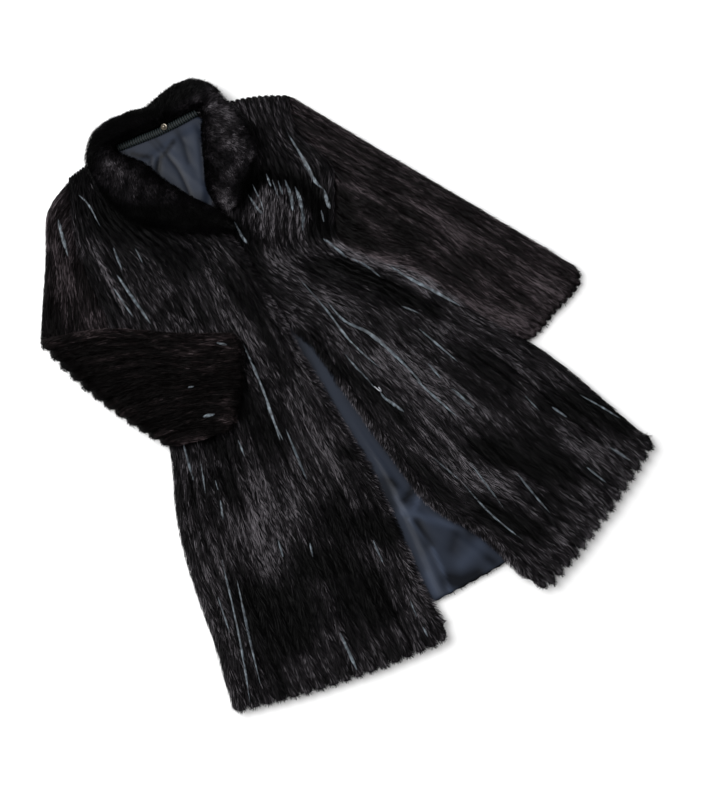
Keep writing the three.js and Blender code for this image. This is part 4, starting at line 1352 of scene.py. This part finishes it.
# The right sleeve's underside shows on its forearm, which is folded over
for layer, count, look, tone, seed in (
    ("top", 16000, FUR_BROWN, 0, 50),
    ("under", 24000, FUR_FOREARM, -0.22, 60),
):
    furred(
        "sleeve_right_" + layer,
        lambda u, v, layer=layer: right_sleeve(layer, u, v),
        across=close_ends(49, PANEL_ENDS),
        down=close_ends(84),
        finer=(120, 300),
        strips=SLEEVE_STRIPS,
        flat=(0.22, 0.66),
        area=0.10,
        rests_on=["floor", "front_right"],
        count=count,
        seed=seed,
        fur_look=look,
        tone=tone,
    )

for side, inner, outer, area, tone, seed in (
    ("right", RIGHT_COLLAR_INNER, RIGHT_COLLAR_OUTER, 0.033, -0.07, 70),
    ("left", LEFT_COLLAR_INNER, LEFT_COLLAR_OUTER, 0.026, -0.12, 80),
):
    furred(
        "collar_" + side,
        lambda u, v, inner=inner, outer=outer: collar(inner, outer, u, 1 - v),
        across=close_ends(20, (0.01, 0.03)),
        down=close_ends(50),
        finer=(60, 200),
        strips=0,
        flat=(0.10, 0.42),
        area=area,
        rests_on=["front_" + side],
        count=23000,
        seed=seed,
        turn=math.radians(40),
        centre_turn=math.radians(45),
        length=13,
        width=0.8,
        height=4.8,
        ruffle=14,
        speckle=0.8,
        tone=tone,
    )

furred(
    "back",
    back,
    across=close_ends(73, (0.004, 0.01)),
    down=BODY_DOWN,
    finer=(220, 380),
    strips=BACK_STRIPS,
    flat=(0.86, 1.05),
    area=0.62,
    rests_on=["floor"],
    count=8000,
    seed=90,
    height=2.5,
    tone=-0.3,
)


def satin_piece(node, top, under, shade, material):
    """A satin shell in place of a CAD node, with the same shade on both sides."""
    made = shell(node + "_satin", top, under, material)
    set_shade(made, np.stack([clamp(shade), clamp(shade)]))
    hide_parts(node)
    return made


def steps(*stretches):
    """Even steps over stretches that follow on each other: from, to and how many."""
    runs = [np.linspace(*stretch) for stretch in stretches]
    return np.concatenate([run[1:-1] if k % 2 else run for k, run in enumerate(runs)])


# The lining's grid is finer where it shows, in the neck and between the fronts
lining_across = steps((0, 0.26, 8), (0.26, 0.66, 72), (0.66, 1, 8))
lining_down = steps((0, 0.2, 46), (0.2, 0.44, 12), (0.44, 1, 110))
lining_top, lining_under, lining_rise = lining(*np.meshgrid(lining_across, lining_down))
# The lining's colour carries painted shade in the creases' troughs and painted highlights on their
# ridges
lining_piece = satin_piece(
    "back_lining", lining_top, lining_under, SATIN_LEVEL + SATIN_CREASE_PAINTED_SHADE * lining_rise, SATIN
)


def trim(u, v):
    """The gathered trim's top and underside, and its folds, from 0 on a ridge to 1 in a dip."""
    p = along(TRIM, v)
    run = unit(along(TRIM, np.minimum(v + 0.01, 1)) - along(TRIM, np.maximum(v - 0.01, 0)))
    fold = np.abs(np.sin(np.pi * TRIM_GATHERS * v + 0.4 * np.sin(np.pi * u)))
    gather = GATHER * (1 - 2 * fold ** 0.7) + 0.3 * noise(v * 170, u * 9, 2.4, 15)
    turn = np.pi * u
    reach = -(TRIM_HALF + gather / 2) * np.cos(turn)
    high = TRIM_Z + 1 + (TRIM_HIGH + gather) * np.sin(turn) ** 0.6
    outer = stack(p[..., 0] - run[..., 1] * reach, p[..., 1] + run[..., 0] * reach, high)
    return outer, stack(outer[..., 0], outer[..., 1], TRIM_Z), fold


trim_top, trim_under, trim_fold = trim(*np.meshgrid(np.linspace(0, 1, 8), np.linspace(0, 1, 300)))
# The trim's shade is painted shade in the gathers' dips and painted highlights on their ridges
trim_piece = satin_piece("neck_trim", trim_top, trim_under, 1 - trim_fold ** 2, TRIM_SATIN)

for node, name, roughness, colour in (
    ("neck_stud", "stud_metal", 0.28, (110, 104, 94)),
    ("front_hook", "hook_wire", 0.35, (165, 168, 175)),
):
    metal = new_material(name, Metallic=1.0, Roughness=roughness, Base_Color=linear(*colour))
    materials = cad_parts[node].data.materials
    materials.clear()
    materials.append(metal)

# Floor, light and camera
FLOOR = new_material(
    "floor", Roughness=0.9, Specular_IOR_Level=0, Base_Color=(0.9, 0.9, 0.9, 1)
)
floor_mesh = bpy.data.meshes.new("floor")
floor_mesh.from_pydata([(-6, -6, 0), (6, -6, 0), (6, 6, 0), (-6, 6, 0)], [], [(0, 1, 2, 3)])
floor_mesh.materials.append(FLOOR)
new_object("floor", floor_mesh)

world = bpy.data.worlds.new("studio")
bpy.context.scene.world = world
world.use_nodes = True
world.node_tree.nodes["Background"].inputs["Color"].default_value = (1, 1, 1, 1)
world.node_tree.nodes["Background"].inputs["Strength"].default_value = 0.62
bpy.context.scene.view_settings.view_transform = "Standard"


light = bpy.data.lights.new("key", "AREA")
light.shape = "SQUARE"
light.size = 2.8
light.energy = 155
key = new_object("key", light)
key.location = (-1.5, 1.4, 3.0)
key.rotation_euler = key.location.to_track_quat("Z", "Y").to_euler()

target = Vector(place(np.array(TARGET_AT)))
lens = bpy.data.cameras.new("camera")
lens.lens = LENS
lens.sensor_width = SENSOR
camera = new_object("camera", lens)
turned = Matrix((RIGHTWARD, UPWARD, OUTWARD)).transposed().to_4x4()
camera.matrix_world = Matrix.Translation(target + DISTANCE / 1000 * OUTWARD) @ turned
bpy.context.scene.camera = camera
